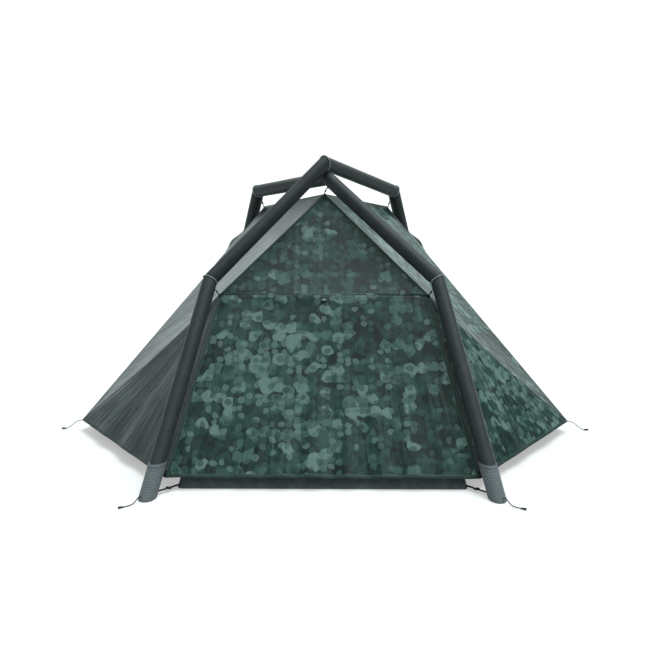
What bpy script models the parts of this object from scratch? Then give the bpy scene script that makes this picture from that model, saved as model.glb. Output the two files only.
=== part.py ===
# Inflatable tent: two crossed air beams stand over a fly that hangs inside them,
# and the inner tent stands in the fly. Metres, +Z up, front towards -Y.
# The origin is on the ground at the middle of the length and of the width.

import math

import bmesh
import bpy
from mathutils import Matrix, Vector

for leftover in list(bpy.data.objects):
    bpy.data.objects.remove(leftover, do_unlink=True)

# Air beams. Depths run back from the front feet.
beam_diameter = 0.065
front_foot_half_width = 0.678
front_elbow_half_width = 0.501
front_elbow_depth = 0.662
front_elbow_height = 0.760
apex_depth = 1.053
apex_height = 1.258
rear_elbow_half_width = 0.366
rear_elbow_depth = 1.709
rear_elbow_height = 1.094
rear_foot_half_width = 0.662
rear_foot_depth = 2.208

# The lower beam dips under the upper one and leans away from its front run.
crossing_drop = 0.0705
crossing_shift_across = 0.0143
crossing_shift_back = 0.0110

gap = 0.0003
overrun = 0.020
weld_reach = 0.00002
sleeve_wall = 0.0012
bladder_wall = 0.0012
bladder_slack = 0.0004
bladder_end_room = 0.006
piping_radius = 0.0017
beam_sides = 20

boot_wall = 0.0016
boot_height = 0.118
boot_sole = 0.003
boot_edge_round = 0.004

# The fly hangs this far below the beams, and the inner tent this far inside the fly.
fly_peak_drop = 0.144
shoulder_drop = 0.067
rear_shoulder_drop = 0.081
rear_hem_inset = 0.083
inner_peak_drop = 0.074
inner_shoulder_drop = 0.053
inner_rear_drop = 0.068
floor_rear_inset = 0.075

# Fly corners, as half width, depth and height.
fly_fabric = 0.0012
hem_height = 0.050
fly_peak_depth = 1.045
fly_peak_height = apex_height - fly_peak_drop
shoulder_half_width = 0.462
shoulder_depth = 0.659
shoulder_height = front_elbow_height - shoulder_drop
front_hem_half_width = 0.626
front_hem_depth = 0.100
wing_tip_half_width = 1.158
wing_tip_depth = 0.886
rear_shoulder_half_width = 0.330
rear_shoulder_depth = 1.686
rear_shoulder_height = rear_elbow_height - rear_shoulder_drop
rear_hem_half_width = 0.598
rear_hem_depth = rear_foot_depth - rear_hem_inset

door_sag = 0.012
door_fold_depth = 0.006
door_folds = 9
wing_fold_depth = 0.008
wing_folds = 3
side_sag = 0.012
crease_sag = 0.014
roof_sag = 0.006

zip_width = 0.008
zip_thickness = 0.0016
zip_end_room = 0.012
slider_length = 0.014
slider_height = 0.004
pull_length = 0.022
pull_width = 0.006
pull_thickness = 0.0016

toggle_length = 0.026
toggle_radius = 0.005
toggle_drop = 0.034
toggle_loop_width = 0.010
toggle_loop_thickness = 0.0012

vent_distance = 0.170
vent_length = 0.190
vent_taper = 0.050
vent_reach = 0.034
vent_rise = 0.010

# Inner tent: a tray of coated cloth with walls and roof of light cloth on it.
tub_fabric = 0.0015
tub_height = 0.090
inner_fabric = 0.0010
floor_front_half_width = 0.575
floor_front_depth = 0.109
floor_rear_half_width = 0.530
floor_rear_depth = rear_hem_depth - floor_rear_inset
inner_shoulder_half_width = 0.415
inner_shoulder_depth = 0.665
inner_shoulder_height = shoulder_height - inner_shoulder_drop
inner_peak_depth = 1.040
inner_peak_height = fly_peak_height - inner_peak_drop
inner_rear_half_width = 0.285
inner_rear_depth = 1.630
inner_rear_height = rear_shoulder_height - inner_rear_drop
inner_door_half_width = 0.400
inner_door_top_half_width = 0.320
inner_door_sill = 0.112
inner_door_head = 0.560
inner_door_round = 0.120
inner_door_seam = 0.0009

hanger_radius = 0.0024
hanger_straight = 0.008
hanger_offset = 0.032
straight_shares = (0, 0.5, 1)
corner_inset = 0.014
corner_cord_distance = 0.070
foot_peg_distance = -0.008  # below zero is from the beam's axis towards the toe
cord_radius = 0.0021
cord_straight = 0.006
peg_end_length = 0.016
peg_end_radius = 0.0045
strap_width = 0.015
strap_thickness = 0.0016
strap_height = 0.014
buckle_length = 0.014
buckle_width = 0.023
buckle_height = 0.006

# Valve on the rear leg of the upper beam.
valve_height = 0.290
valve_bore = 0.0075
valve_barrel = 0.0105
valve_flange = 0.0170
valve_flange_top = 0.0030
valve_lip = 0.0006
valve_depth = 0.0140
valve_seat = 0.0015
valve_seat_hole = 0.0045
pin_stem = 0.0020
pin_button = 0.0042
pin_disc = 0.0066
pin_disc_thickness = 0.0015
cap_radius = 0.0130
cap_thickness = 0.0030
cap_plug = 0.0025
cap_plug_play = 0.0007
cap_bar_height = 0.0025
cap_bar_width = 0.0040
cap_bar_length = 0.0180
cap_tab_width = 0.0070
cap_tab_thickness = 0.0018
cap_hinge_reach = 0.0155
hose_radius = 0.0055
hose_wall = 0.0018
hose_entry = 0.0060

up = Vector((0, 0, 1))
beam_radius = beam_diameter / 2
bladder_radius = beam_radius - sleeve_wall - bladder_slack
boot_radius = beam_radius + gap + boot_wall
piping_room = piping_radius + gap
swing_room = math.hypot(gap / 2, fly_fabric / 2) + gap / 2

tent = bpy.data.collections.new("Inflatable tent")
cutters = bpy.data.collections.new("Cutters")
bpy.context.scene.collection.children.link(tent)
bpy.context.scene.collection.children.link(cutters)


def make_material(name, colour, roughness):
    material = bpy.data.materials.new(name)
    material.use_nodes = True
    shader = material.node_tree.nodes["Principled BSDF"]
    shader.inputs["Base Color"].default_value = (*colour, 1.0)
    shader.inputs["Roughness"].default_value = roughness
    shader.inputs["Metallic"].default_value = 0.0
    material.diffuse_color = (*colour, 1.0)
    return material


sleeve_cloth = make_material("Charcoal sleeve cloth", (0.045, 0.050, 0.052), 0.65)
boot_cloth = make_material("Reinforced boot cloth", (0.110, 0.130, 0.140), 0.75)
piping_cloth = make_material("Grey piping", (0.200, 0.210, 0.210), 0.55)
bladder_film = make_material("Grey air film", (0.350, 0.370, 0.380), 0.30)
printed_cloth = make_material("Green printed fly cloth", (0.045, 0.090, 0.080), 0.50)
plain_cloth = make_material("Grey plain fly cloth", (0.130, 0.150, 0.155), 0.50)
tub_cloth = make_material("Dark floor cloth", (0.035, 0.040, 0.043), 0.45)
inner_cloth = make_material("Light inner cloth", (0.420, 0.440, 0.430), 0.80)
cord_braid = make_material("Black cord", (0.012, 0.013, 0.013), 0.70)
black_plastic = make_material("Black plastic", (0.015, 0.015, 0.016), 0.40)
zip_plastic = make_material("Grey zip", (0.180, 0.200, 0.200), 0.50)


# Tools for making and cutting pieces

def add_object(name, mesh, material, collection):
    mesh.materials.append(material)
    thing = bpy.data.objects.new(name, mesh)
    collection.objects.link(thing)
    if collection == cutters:
        thing.hide_render = True
        thing.display_type = "WIRE"
    return thing


def add_mesh(name, points, faces, material, collection=tent):
    """A mesh piece whose faces look out."""
    mesh = bpy.data.meshes.new(name)
    mesh.from_pydata([tuple(point) for point in points], [], faces)
    shape = bmesh.new()
    shape.from_mesh(mesh)
    bmesh.ops.recalc_face_normals(shape, faces=shape.faces)
    shape.to_mesh(mesh)
    shape.free()
    mesh.shade_smooth()
    mesh.set_sharp_from_angle(angle=math.radians(35))
    return add_object(name, mesh, material, collection)


def cut(thing, cutter, operation="DIFFERENCE"):
    boolean = thing.modifiers.new("Cut", "BOOLEAN")
    boolean.operation = operation
    boolean.solver = "EXACT"
    boolean.object = cutter


def level_across(direction):
    """A level unit axis square to a direction, or X where the direction is upright."""
    level = direction.cross(up)
    if level.length < 1e-6:
        return Vector((1, 0, 0))
    return level.normalized()


def place_along(foot, direction, hint=None):
    """A placement whose Z runs along a direction, and whose X leans to a hint."""
    level = level_across(direction)
    if hint is not None:
        level = (hint - hint.dot(direction) * direction).normalized()
    axes = Matrix((level, direction.cross(level), direction)).transposed()
    return Matrix.Translation(foot) @ axes.to_4x4()


def add_box(name, size, placement, material, collection=tent):
    """A box of a size, centred on a placement."""
    mesh = bpy.data.meshes.new(name)
    shape = bmesh.new()
    bmesh.ops.create_cube(shape, size=1.0, matrix=Matrix.Diagonal((*size, 1.0)))
    shape.to_mesh(mesh)
    shape.free()
    thing = add_object(name, mesh, material, collection)
    thing.matrix_world = placement
    return thing


def add_turned(name, profile, foot, direction, material, sides=24, closed=False, collection=tent):
    """A turned piece: (radius, height) pairs spun about a direction."""
    mesh = bpy.data.meshes.new(name)
    edges = [(index, index + 1) for index in range(len(profile) - 1)]
    if closed:
        edges.append((len(profile) - 1, 0))
    mesh.from_pydata([(radius, 0.0, height) for radius, height in profile], edges, [])
    thing = add_object(name, mesh, material, collection)
    thing.matrix_world = place_along(foot, direction)
    screw = thing.modifiers.new("Turn", "SCREW")
    screw.steps = sides
    screw.render_steps = sides
    screw.use_merge_vertices = True
    screw.merge_threshold = weld_reach
    return thing


def ring_across(centre, direction, radius, sides):
    """A round ring square to a direction."""
    level = level_across(direction)
    steep = direction.cross(level)
    ring = []
    for step in range(sides):
        angle = 2 * math.pi * step / sides
        ring.append(centre + radius * (math.cos(angle) * level + math.sin(angle) * steep))
    return ring


def slid(ring, direction, point, normal):
    """A ring moved along a direction, point by point, onto a plane."""
    return [spot + (point - spot).dot(normal) / direction.dot(normal) * direction for spot in ring]


def loft(rings, closed=False, capped=False):
    """Points and faces that join rings of equal length in order."""
    sides = len(rings[0])
    points = [point for ring in rings for point in ring]
    faces = []
    for span in range(len(rings) if closed else len(rings) - 1):
        near = span * sides
        far = ((span + 1) % len(rings)) * sides
        for step in range(sides):
            after = (step + 1) % sides
            faces.append((near + step, near + after, far + after, far + step))
    if capped:
        faces.append(tuple(range(sides)))
        faces.append(tuple(range(len(points) - sides, len(points))))
    return points, faces


def add_cylinder(name, start, end, radius, sides, material=sleeve_cloth, collection=cutters):
    direction = (end - start).normalized()
    rings = [ring_across(spot, direction, radius, sides) for spot in (start, end)]
    return add_mesh(name, *loft(rings, capped=True), material, collection)


def add_curve(name, points, radius, material, cyclic=False, swell=None):
    """A round cord along points; swell gives the share of its radius at each point."""
    curve = bpy.data.curves.new(name, "CURVE")
    curve.dimensions = "3D"
    curve.bevel_depth = radius
    curve.bevel_resolution = 1 if cyclic else 2
    curve.use_fill_caps = not cyclic
    curve.materials.append(material)
    spline = curve.splines.new("POLY")
    spline.points.add(len(points) - 1)
    for index, point in enumerate(points):
        spline.points[index].co = (*point, 1.0)
        spline.points[index].radius = swell[index] if swell else 1.0
    spline.use_cyclic_u = cyclic
    thing = bpy.data.objects.new(name, curve)
    tent.objects.link(thing)
    return thing


def curve_to_mesh(thing):
    """The same piece as a closed mesh, so that it can be cut."""
    bpy.context.view_layer.update()
    evaluated = thing.evaluated_get(bpy.context.evaluated_depsgraph_get())
    mesh = bpy.data.meshes.new_from_object(evaluated)
    shape = bmesh.new()
    shape.from_mesh(mesh)
    bmesh.ops.remove_doubles(shape, verts=shape.verts, dist=weld_reach)
    shape.to_mesh(mesh)
    shape.free()
    name = thing.name
    placement = thing.matrix_world.copy()
    bpy.data.objects.remove(thing, do_unlink=True)
    solid = bpy.data.objects.new(name, mesh)
    solid.matrix_world = placement
    tent.objects.link(solid)
    return solid


def smooth_route(points, spacing):
    """Points along a smooth curve through a cord's route points."""
    ends = [2 * points[0] - points[1], *points, 2 * points[-1] - points[-2]]
    route = []
    for index in range(1, len(ends) - 2):
        before, here, there, after = ends[index - 1:index + 3]
        steps = max(1, round((there - here).length / spacing))
        for step in range(steps):
            t = step / steps
            bend = (2 * before - 5 * here + 4 * there - after) * t ** 2
            swing = (3 * here - before - 3 * there + after) * t ** 3
            route.append((2 * here + (there - before) * t + bend + swing) / 2)
    route.append(points[-1])
    return route


# Where the boots end, and so where the middle of the length is
def boot_ends(across, depth, height):
    """How far a boot reaches forward and back of its leg's foot point."""
    line = Vector((across, depth, height)).normalized()
    ring = slid(ring_across(Vector(), line, boot_radius, beam_sides), line, boot_edge_round * up, up)
    return min(spot.y for spot in ring), max(spot.y for spot in ring)


front_end = boot_ends(
    front_elbow_half_width - front_foot_half_width, front_elbow_depth, front_elbow_height)[0]
rear_end = rear_foot_depth + boot_ends(
    rear_elbow_half_width - rear_foot_half_width, rear_elbow_depth - rear_foot_depth,
    rear_elbow_height)[1]
mid_depth = (front_end + rear_end) / 2


def at(across, depth, height):
    return Vector((across, depth - mid_depth, height))


def on_side(side, point):
    """A point of the right side, or its mirror image on the left."""
    return point if side == "right" else Vector((-point.x, point.y, point.z))


# Beam lines: each runs foot, elbow, apex, elbow, foot
front_foot = at(front_foot_half_width, 0, 0)
front_elbow = at(front_elbow_half_width, front_elbow_depth, front_elbow_height)
rear_elbow = at(rear_elbow_half_width, rear_elbow_depth, rear_elbow_height)
rear_foot = at(rear_foot_half_width, rear_foot_depth, 0)
upper_apex = at(0, apex_depth, apex_height)
lower_apex = at(crossing_shift_across, apex_depth + crossing_shift_back, apex_height - crossing_drop)
upper_beam = [
    on_side("left", front_foot), on_side("left", front_elbow), upper_apex, rear_elbow, rear_foot]
lower_beam = [
    front_foot, front_elbow, lower_apex, on_side("left", rear_elbow), on_side("left", rear_foot)]


def run_direction(beam, index):
    return (beam[index + 1] - beam[index]).normalized()


def beam_planes(beam, foot_height):
    """The plane across a beam at each of its corners, level at the feet."""
    planes = [(beam[0] + foot_height * up, up)]
    for index in range(1, len(beam) - 1):
        mitre = run_direction(beam, index - 1) + run_direction(beam, index)
        planes.append((beam[index], mitre.normalized()))
    planes.append((beam[-1] + foot_height * up, -up))
    return planes


def beam_rings(beam, radius, foot_height):
    """A beam's rings in those planes, each carried on along the run before it."""
    planes = beam_planes(beam, foot_height)
    line = run_direction(beam, 0)
    rings = [slid(ring_across(beam[0], line, radius, beam_sides), line, *planes[0])]
    for index in range(1, len(beam)):
        rings.append(slid(rings[-1], run_direction(beam, index - 1), *planes[index]))
    return rings


def add_sleeve(name, beam, index, start_room, end_room):
    """One sewn length of sleeve, cut back from the seams at its ends."""
    foot_height = boot_sole + gap
    planes = beam_planes(beam, foot_height)
    line = run_direction(beam, index)
    start_point, start_normal = planes[index]
    end_point, end_normal = planes[index + 1]
    start = (start_point + start_room * start_normal, start_normal)
    end = (end_point - end_room * end_normal, end_normal)
    outer = beam_rings(beam, beam_radius, foot_height)[index]
    inner = beam_rings(beam, beam_radius - sleeve_wall, foot_height)[index]
    rings = [slid(outer, line, *start), slid(outer, line, *end), slid(inner, line, *end)]
    rings.append(slid(inner, line, *start))
    return add_mesh(name, *loft(rings, closed=True), sleeve_cloth)


add_sleeve("front_left_leg_sleeve", upper_beam, 0, 0, piping_room)
front_left_roof_sleeve = add_sleeve(
    "front_left_roof_sleeve", upper_beam, 1, piping_room, piping_room)
rear_right_roof_sleeve = add_sleeve(
    "rear_right_roof_sleeve", upper_beam, 2, piping_room, piping_room)
rear_right_leg_sleeve = add_sleeve("rear_right_leg_sleeve", upper_beam, 3, piping_room, 0)
add_sleeve("front_right_leg_sleeve", lower_beam, 0, 0, piping_room)
front_right_roof_sleeve = add_sleeve(
    "front_right_roof_sleeve", lower_beam, 1, piping_room, gap / 2)
rear_left_roof_sleeve = add_sleeve("rear_left_roof_sleeve", lower_beam, 2, gap / 2, piping_room)
add_sleeve("rear_left_leg_sleeve", lower_beam, 3, piping_room, 0)


def add_piping(name, beam, index):
    """The piping sewn into the seam at one corner of a beam."""
    radius = bladder_radius + gap + piping_radius
    ring = beam_rings(beam, radius, 0)[index]
    return add_curve(name, ring, piping_radius, piping_cloth, cyclic=True)


add_piping("front_left_elbow_piping", upper_beam, 1)
add_piping("rear_right_elbow_piping", upper_beam, 3)
add_piping("front_right_elbow_piping", lower_beam, 1)
add_piping("rear_left_elbow_piping", lower_beam, 3)
apex_piping = curve_to_mesh(add_piping("apex_piping", upper_beam, 2))


def add_bladder(name, beam):
    """The air bladder of a beam: a welded film tube, hollow from foot to foot."""
    end_height = boot_sole + bladder_end_room
    outer, outer_faces = loft(beam_rings(beam, bladder_radius, end_height), capped=True)
    hollow_radius = bladder_radius - bladder_wall
    hollow, hollow_faces = loft(beam_rings(beam, hollow_radius, end_height + bladder_wall), capped=True)
    faces = outer_faces + [tuple(len(outer) + spot for spot in face) for face in hollow_faces]
    thing = add_mesh(name, outer + hollow, faces, bladder_film)
    turn_hollow_in(thing.data, len(outer))
    return thing


def turn_hollow_in(mesh, first_hollow_point):
    """The faces round the hollow look into it."""
    shape = bmesh.new()
    shape.from_mesh(mesh)
    outer = [face for face in shape.faces if face.verts[0].index < first_hollow_point]
    hollow = [face for face in shape.faces if face.verts[0].index >= first_hollow_point]
    bmesh.ops.recalc_face_normals(shape, faces=outer)
    bmesh.ops.recalc_face_normals(shape, faces=hollow)
    bmesh.ops.reverse_faces(shape, faces=hollow)
    shape.to_mesh(mesh)
    shape.free()


upper_beam_bladder = add_bladder("upper_beam_bladder", upper_beam)
lower_beam_bladder = add_bladder("lower_beam_bladder", lower_beam)


def add_boot(name, foot, elbow):
    """The reinforced cup sewn round the foot of a leg, flat on the ground."""
    line = (elbow - foot).normalized()
    rings = []
    for radius, height in (
        (boot_radius - boot_edge_round, 0),
        (boot_radius, boot_edge_round),
        (boot_radius, boot_height),
        (beam_radius + gap, boot_height),
        (beam_radius + gap, boot_sole),
    ):
        rings.append(slid(ring_across(foot, line, radius, beam_sides), line, foot + height * up, up))
    return add_mesh(name, *loft(rings, capped=True), boot_cloth)


for side in ("left", "right"):
    add_boot(f"front_{side}_boot", on_side(side, front_foot), on_side(side, front_elbow))
    add_boot(f"rear_{side}_boot", on_side(side, rear_foot), on_side(side, rear_elbow))


# Valve: it stands square to the rear leg of the upper beam and looks back
valve_line = run_direction(upper_beam, 3)
valve_foot = rear_foot.lerp(rear_elbow, valve_height / rear_elbow_height)
back = Vector((0, 1, 0))
valve_axis = (back - back.dot(valve_line) * valve_line).normalized()
valve_rim = valve_foot + (beam_radius + valve_flange_top + valve_lip) * valve_axis
valve_reach = valve_foot + (beam_radius + overrun) * valve_axis

valve_hole = add_cylinder(
    "Valve hole", valve_foot + beam_radius / 2 * valve_axis, valve_reach, valve_barrel + gap, 24)
cut(rear_right_leg_sleeve, valve_hole)
cut(upper_beam_bladder, valve_hole)

flange_skirt = beam_radius - math.sqrt(beam_radius ** 2 - valve_flange ** 2)
flange_foot = -valve_lip - valve_flange_top - flange_skirt
barrel_middle = (valve_bore + valve_barrel) / 2
valve_body = add_turned("valve_body", [
    (valve_flange, -valve_lip),
    (valve_flange, flange_foot),
    (barrel_middle, flange_foot),
    (barrel_middle, -valve_lip),
], valve_rim, valve_axis, black_plastic, closed=True)
saddle_reach = (valve_flange + overrun) * valve_line
valve_saddle = add_cylinder(
    "Valve saddle", valve_foot - saddle_reach, valve_foot + saddle_reach, beam_radius + gap, 48)
valve_barrel_tube = add_turned("Valve barrel", [
    (valve_barrel, 0),
    (valve_barrel, -valve_depth),
    (valve_seat_hole, -valve_depth),
    (valve_seat_hole, -valve_depth + valve_seat),
    (valve_bore, -valve_depth + valve_seat),
    (valve_bore, 0),
], valve_rim, valve_axis, black_plastic, closed=True, collection=cutters)
cut(valve_body, valve_saddle)
cut(valve_body, valve_barrel_tube, "UNION")

pin_top = -cap_plug - gap
under_seat = -valve_depth - gap
add_turned("valve_pin", [
    (0, pin_top),
    (pin_button, pin_top),
    (pin_button, pin_top - pin_disc_thickness),
    (pin_stem, pin_top - pin_disc_thickness),
    (pin_stem, under_seat),
    (pin_disc, under_seat),
    (pin_disc, under_seat - pin_disc_thickness),
    (0, under_seat - pin_disc_thickness),
], valve_rim, valve_axis, zip_plastic, 20)

cap_top = gap + cap_thickness
valve_cap = add_turned("valve_cap", [
    (0, cap_top),
    (cap_radius - cap_thickness / 3, cap_top),
    (cap_radius, cap_top - cap_thickness / 3),
    (cap_radius, gap),
    (valve_bore - cap_plug_play, gap),
    (valve_bore - cap_plug_play, -cap_plug),
    (0, -cap_plug),
], valve_rim, valve_axis, black_plastic)
cap_bar = add_box(
    "Cap bar", (cap_bar_width, cap_bar_length, 2 * cap_bar_height),
    place_along(valve_rim + cap_top * valve_axis, valve_axis, valve_line), black_plastic, cutters)
cap_tab_length = cap_hinge_reach + cap_tab_thickness / 2
cap_hinge_lift = cap_top - cap_thickness / 2
cap_tab_middle = valve_rim + cap_tab_length / 2 * valve_line + cap_hinge_lift * valve_axis
cap_tab = add_box(
    "Cap tab", (cap_tab_length, cap_tab_width, cap_tab_thickness),
    place_along(cap_tab_middle, valve_axis, valve_line), black_plastic, cutters)
cut(valve_cap, cap_bar, "UNION")
cut(valve_cap, cap_tab, "UNION")

# Crossover hose: it joins the two bladders where the beams cross
hose_middle = (upper_apex + lower_apex) / 2
hose_inset = bladder_radius - bladder_wall - hose_entry
hose_low = Vector((hose_middle.x, hose_middle.y, lower_apex.z + hose_inset))
hose_high = Vector((hose_middle.x, hose_middle.y, upper_apex.z - hose_inset))
crossing_hole = add_cylinder("Crossing hole", hose_low, hose_high, hose_radius + gap, 16)
lower_room = add_mesh(
    "Lower beam room", *loft(beam_rings(lower_beam, beam_radius + gap, boot_sole)[1:4], capped=True),
    sleeve_cloth, cutters)
for holed in (
    front_left_roof_sleeve, rear_right_roof_sleeve, front_right_roof_sleeve,
    rear_left_roof_sleeve, upper_beam_bladder, lower_beam_bladder, apex_piping,
):
    cut(holed, crossing_hole)
cut(apex_piping, lower_room)
crossover_hose = add_cylinder(
    "crossover_hose", hose_low + gap * up, hose_high - gap * up, hose_radius, 16, black_plastic, tent)
hose_bore = add_cylinder(
    "Hose bore", hose_low - overrun * up, hose_high + overrun * up, hose_radius - hose_wall, 16)
cut(crossover_hose, hose_bore)

# Fly corners of the right side; the left ones are their mirror images
fly_peak = at(0, fly_peak_depth, fly_peak_height)
shoulder = at(shoulder_half_width, shoulder_depth, shoulder_height)
front_corner = at(front_hem_half_width, front_hem_depth, hem_height)
wing_tip = at(wing_tip_half_width, wing_tip_depth, hem_height)
rear_shoulder = at(rear_shoulder_half_width, rear_shoulder_depth, rear_shoulder_height)
rear_corner = at(rear_hem_half_width, rear_hem_depth, hem_height)
left_shoulder = on_side("left", shoulder)
left_front_corner = on_side("left", front_corner)
left_rear_shoulder = on_side("left", rear_shoulder)
left_rear_corner = on_side("left", rear_corner)
heart = at(0, fly_peak_depth, 0)


def seam_room(start, end, own, other):
    """How far a panel's edge lies inside a seam for the two cloths to clear each other."""
    along = (end - start).normalized()
    sides = []
    for point in (own, other):
        away = point - start
        sides.append((away - away.dot(along) * along).normalized())
    half = sides[0].angle(sides[1]) / 2
    return (gap / 2 + fly_fabric / 2 * math.cos(half)) / math.sin(half)


def inset_corners(corners, rooms):
    """Corners moved in from each edge; rooms[i] is for the edge from corner i to the next."""
    moved = []
    for index, corner in enumerate(corners):
        ahead = (corners[(index + 1) % len(corners)] - corner).normalized()
        behind = (corners[index - 1] - corner).normalized()
        spread = math.sin(ahead.angle(behind))
        moved.append(corner + ahead * (rooms[index - 1] / spread) + behind * (rooms[index] / spread))
    return moved


def outward(a, b, c, d):
    """The unit normal of the plane through two diagonals, away from the tent's heart."""
    normal = (b - a).cross(d - c).normalized()
    return normal if normal.dot(a - heart) > 0 else -normal


def add_cloth(name, points, faces, material, thickness):
    thing = add_mesh(name, points, faces, material)
    solidify = thing.modifiers.new("Cloth thickness", "SOLIDIFY")
    solidify.thickness = thickness
    solidify.offset = 0.0
    solidify.use_even_offset = True
    return thing


def add_triangle_panel(name, corners, rooms, rows, material, shape):
    """A three-cornered cloth; shape turns corner shares into a lift and a droop."""
    spots = inset_corners(corners, rooms)
    normal = outward(spots[0], spots[1], spots[0], spots[2])
    points = []
    for row in range(rows + 1):
        for step in range(row + 1):
            first = 1 - row / rows
            third = step / rows
            second = 1 - first - third
            lift, droop = shape(first, second, third)
            place = first * spots[0] + second * spots[1] + third * spots[2]
            points.append(place + lift * normal - droop * up)
    faces = []
    for row in range(rows):
        start = row * (row + 1) // 2
        below = (row + 1) * (row + 2) // 2
        for step in range(row + 1):
            faces.append((start + step, below + step, below + step + 1))
            if step < row:
                faces.append((start + step, below + step + 1, start + step + 1))
    return add_cloth(name, points, faces, material, fly_fabric)


def add_quad_panel(name, corners, rooms, across, down, material, shape):
    """A four-cornered cloth; shape turns the shares across and down into a lift and a droop."""
    spots = inset_corners(corners, rooms)
    normal = outward(spots[0], spots[2], spots[1], spots[3])
    points = []
    for row in range(down + 1):
        t = row / down
        for step in range(across + 1):
            s = step / across
            lift, droop = shape(s, t)
            near = (1 - s) * spots[0] + s * spots[1]
            far = (1 - s) * spots[3] + s * spots[2]
            points.append((1 - t) * near + t * far + lift * normal - droop * up)
    faces = []
    for row in range(down):
        for step in range(across):
            start = row * (across + 1) + step
            faces.append((start, start + 1, start + across + 2, start + across + 1))
    return add_cloth(name, points, faces, material, fly_fabric)


def hump(share):
    return math.sin(math.pi * share)


def door_shape(s, t):
    folds = door_fold_depth * t ** 2 * hump(s) * math.sin(2 * math.pi * door_folds * s)
    return folds - door_sag * hump(s) * hump(t), 0


def wing_shape(first, second, third):
    """Folds fan out from the shoulder to the hem, under the sagging crease."""
    spread = second + third
    share = third / spread if spread > 0 else 0
    folds = wing_fold_depth * spread ** 2 * hump(share) * math.sin(2 * math.pi * wing_folds * share)
    return folds, 4 * first * third * crease_sag


def side_shape(s, t):
    return -side_sag * hump(s) * hump(t), 4 * t * (1 - t) * s * crease_sag


def wall_shape(s, t):
    return -door_sag * hump(s) * hump(t), 0


def bowl_shape(first, second, third):
    return -roof_sag * 27 * first * second * third, 0


def vent_shape(s, t):
    return vent_rise * hump(s) * t * (2 - t), 0


gable_side_room = seam_room(fly_peak, shoulder, left_shoulder, rear_shoulder)
add_triangle_panel(
    "front_gable", [fly_peak, left_shoulder, shoulder],
    [gable_side_room, swing_room, gable_side_room], 8, printed_cloth, bowl_shape)

zip_side_room = zip_width / 2 + gap
add_quad_panel(
    "front_door", [left_shoulder, shoulder, front_corner, left_front_corner],
    [gap / 2, zip_side_room, 0, zip_side_room], 36, 6, printed_cloth, door_shape)

roof_side_room = seam_room(fly_peak, rear_shoulder, left_rear_shoulder, shoulder)
roof_rear_room = seam_room(left_rear_shoulder, rear_shoulder, fly_peak, rear_corner)
add_triangle_panel(
    "roof_panel", [fly_peak, left_rear_shoulder, rear_shoulder],
    [roof_side_room, roof_rear_room, roof_side_room], 6, printed_cloth, bowl_shape)

rear_side_room = seam_room(rear_shoulder, rear_corner, left_rear_corner, wing_tip)
rear_top_room = seam_room(left_rear_shoulder, rear_shoulder, rear_corner, fly_peak)
add_quad_panel(
    "rear_panel", [rear_shoulder, left_rear_shoulder, left_rear_corner, rear_corner],
    [rear_top_room, rear_side_room, 0, rear_side_room], 8, 6, printed_cloth, wall_shape)

wing_rooms = [zip_side_room, 0, seam_room(shoulder, wing_tip, front_corner, rear_shoulder)]
side_rooms = [
    seam_room(fly_peak, shoulder, rear_shoulder, left_shoulder),
    seam_room(shoulder, wing_tip, rear_shoulder, front_corner),
    seam_room(rear_shoulder, wing_tip, shoulder, rear_corner),
    seam_room(rear_shoulder, fly_peak, shoulder, left_rear_shoulder),
]
rear_wing_rooms = [
    seam_room(rear_shoulder, wing_tip, rear_corner, shoulder), 0,
    seam_room(rear_shoulder, rear_corner, wing_tip, left_rear_corner)]


def add_side_cloths(side, cloth):
    """The wing of one side, and the vent hood that carries on past its ridge."""
    peak = on_side(side, fly_peak)
    here = on_side(side, shoulder)
    low = on_side(side, front_corner)
    tip = on_side(side, wing_tip)
    rear = on_side(side, rear_shoulder)
    rear_low = on_side(side, rear_corner)
    add_triangle_panel(
        f"{side}_wing_front_panel", [here, low, tip], wing_rooms, 14, cloth, wing_shape)
    add_quad_panel(
        f"{side}_side_panel", [peak, here, tip, rear], side_rooms, 8, 8, cloth, side_shape)
    add_triangle_panel(
        f"{side}_wing_rear_panel", [rear, tip, rear_low], rear_wing_rooms, 8, cloth, bowl_shape)

    ridge = (tip - rear).normalized()
    side_out = outward(tip, here, tip, rear)
    start = rear + vent_distance * ridge + (fly_fabric + 2 * gap) * side_out
    end = start + vent_length * ridge
    past = ridge.cross(side_out)
    if past.dot(here - rear) > 0:
        past = -past
    reach = vent_reach * past
    taper = vent_taper * ridge
    add_quad_panel(
        f"{side}_vent_hood", [start, end, end + reach - taper, start + reach + taper],
        [gap / 2, 0, 0, 0], 8, 3, cloth, vent_shape)


add_side_cloths("left", plain_cloth)
add_side_cloths("right", printed_cloth)
door_out = outward(left_shoulder, front_corner, shoulder, left_front_corner)


def add_door_zip(side):
    """A straight zip in the plane of the door, with its slider outside at the hem."""
    top = on_side(side, shoulder)
    low = on_side(side, front_corner)
    run = (low - top).normalized()
    zip_length = (low - top).length - zip_end_room
    add_box(
        f"{side}_door_zip", (zip_thickness, zip_width, zip_length),
        place_along(low - zip_length / 2 * run, run, door_out), zip_plastic)

    rest = low - slider_length / 2 * run
    slider_foot = zip_thickness / 2 + gap
    slider = add_box(
        f"{side}_zip_slider", (slider_height, zip_width - 2 * gap, slider_length),
        place_along(rest + (slider_foot + slider_height / 2) * door_out, run, door_out),
        black_plastic)
    pull_lift = slider_foot + slider_height - pull_thickness
    pull = add_box(
        f"{side} slider pull", (pull_thickness, pull_width, pull_length),
        place_along(rest - pull_length / 2 * run + pull_lift * door_out, run, door_out),
        black_plastic, cutters)
    cut(slider, pull, "UNION")


add_door_zip("left")
add_door_zip("right")

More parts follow.
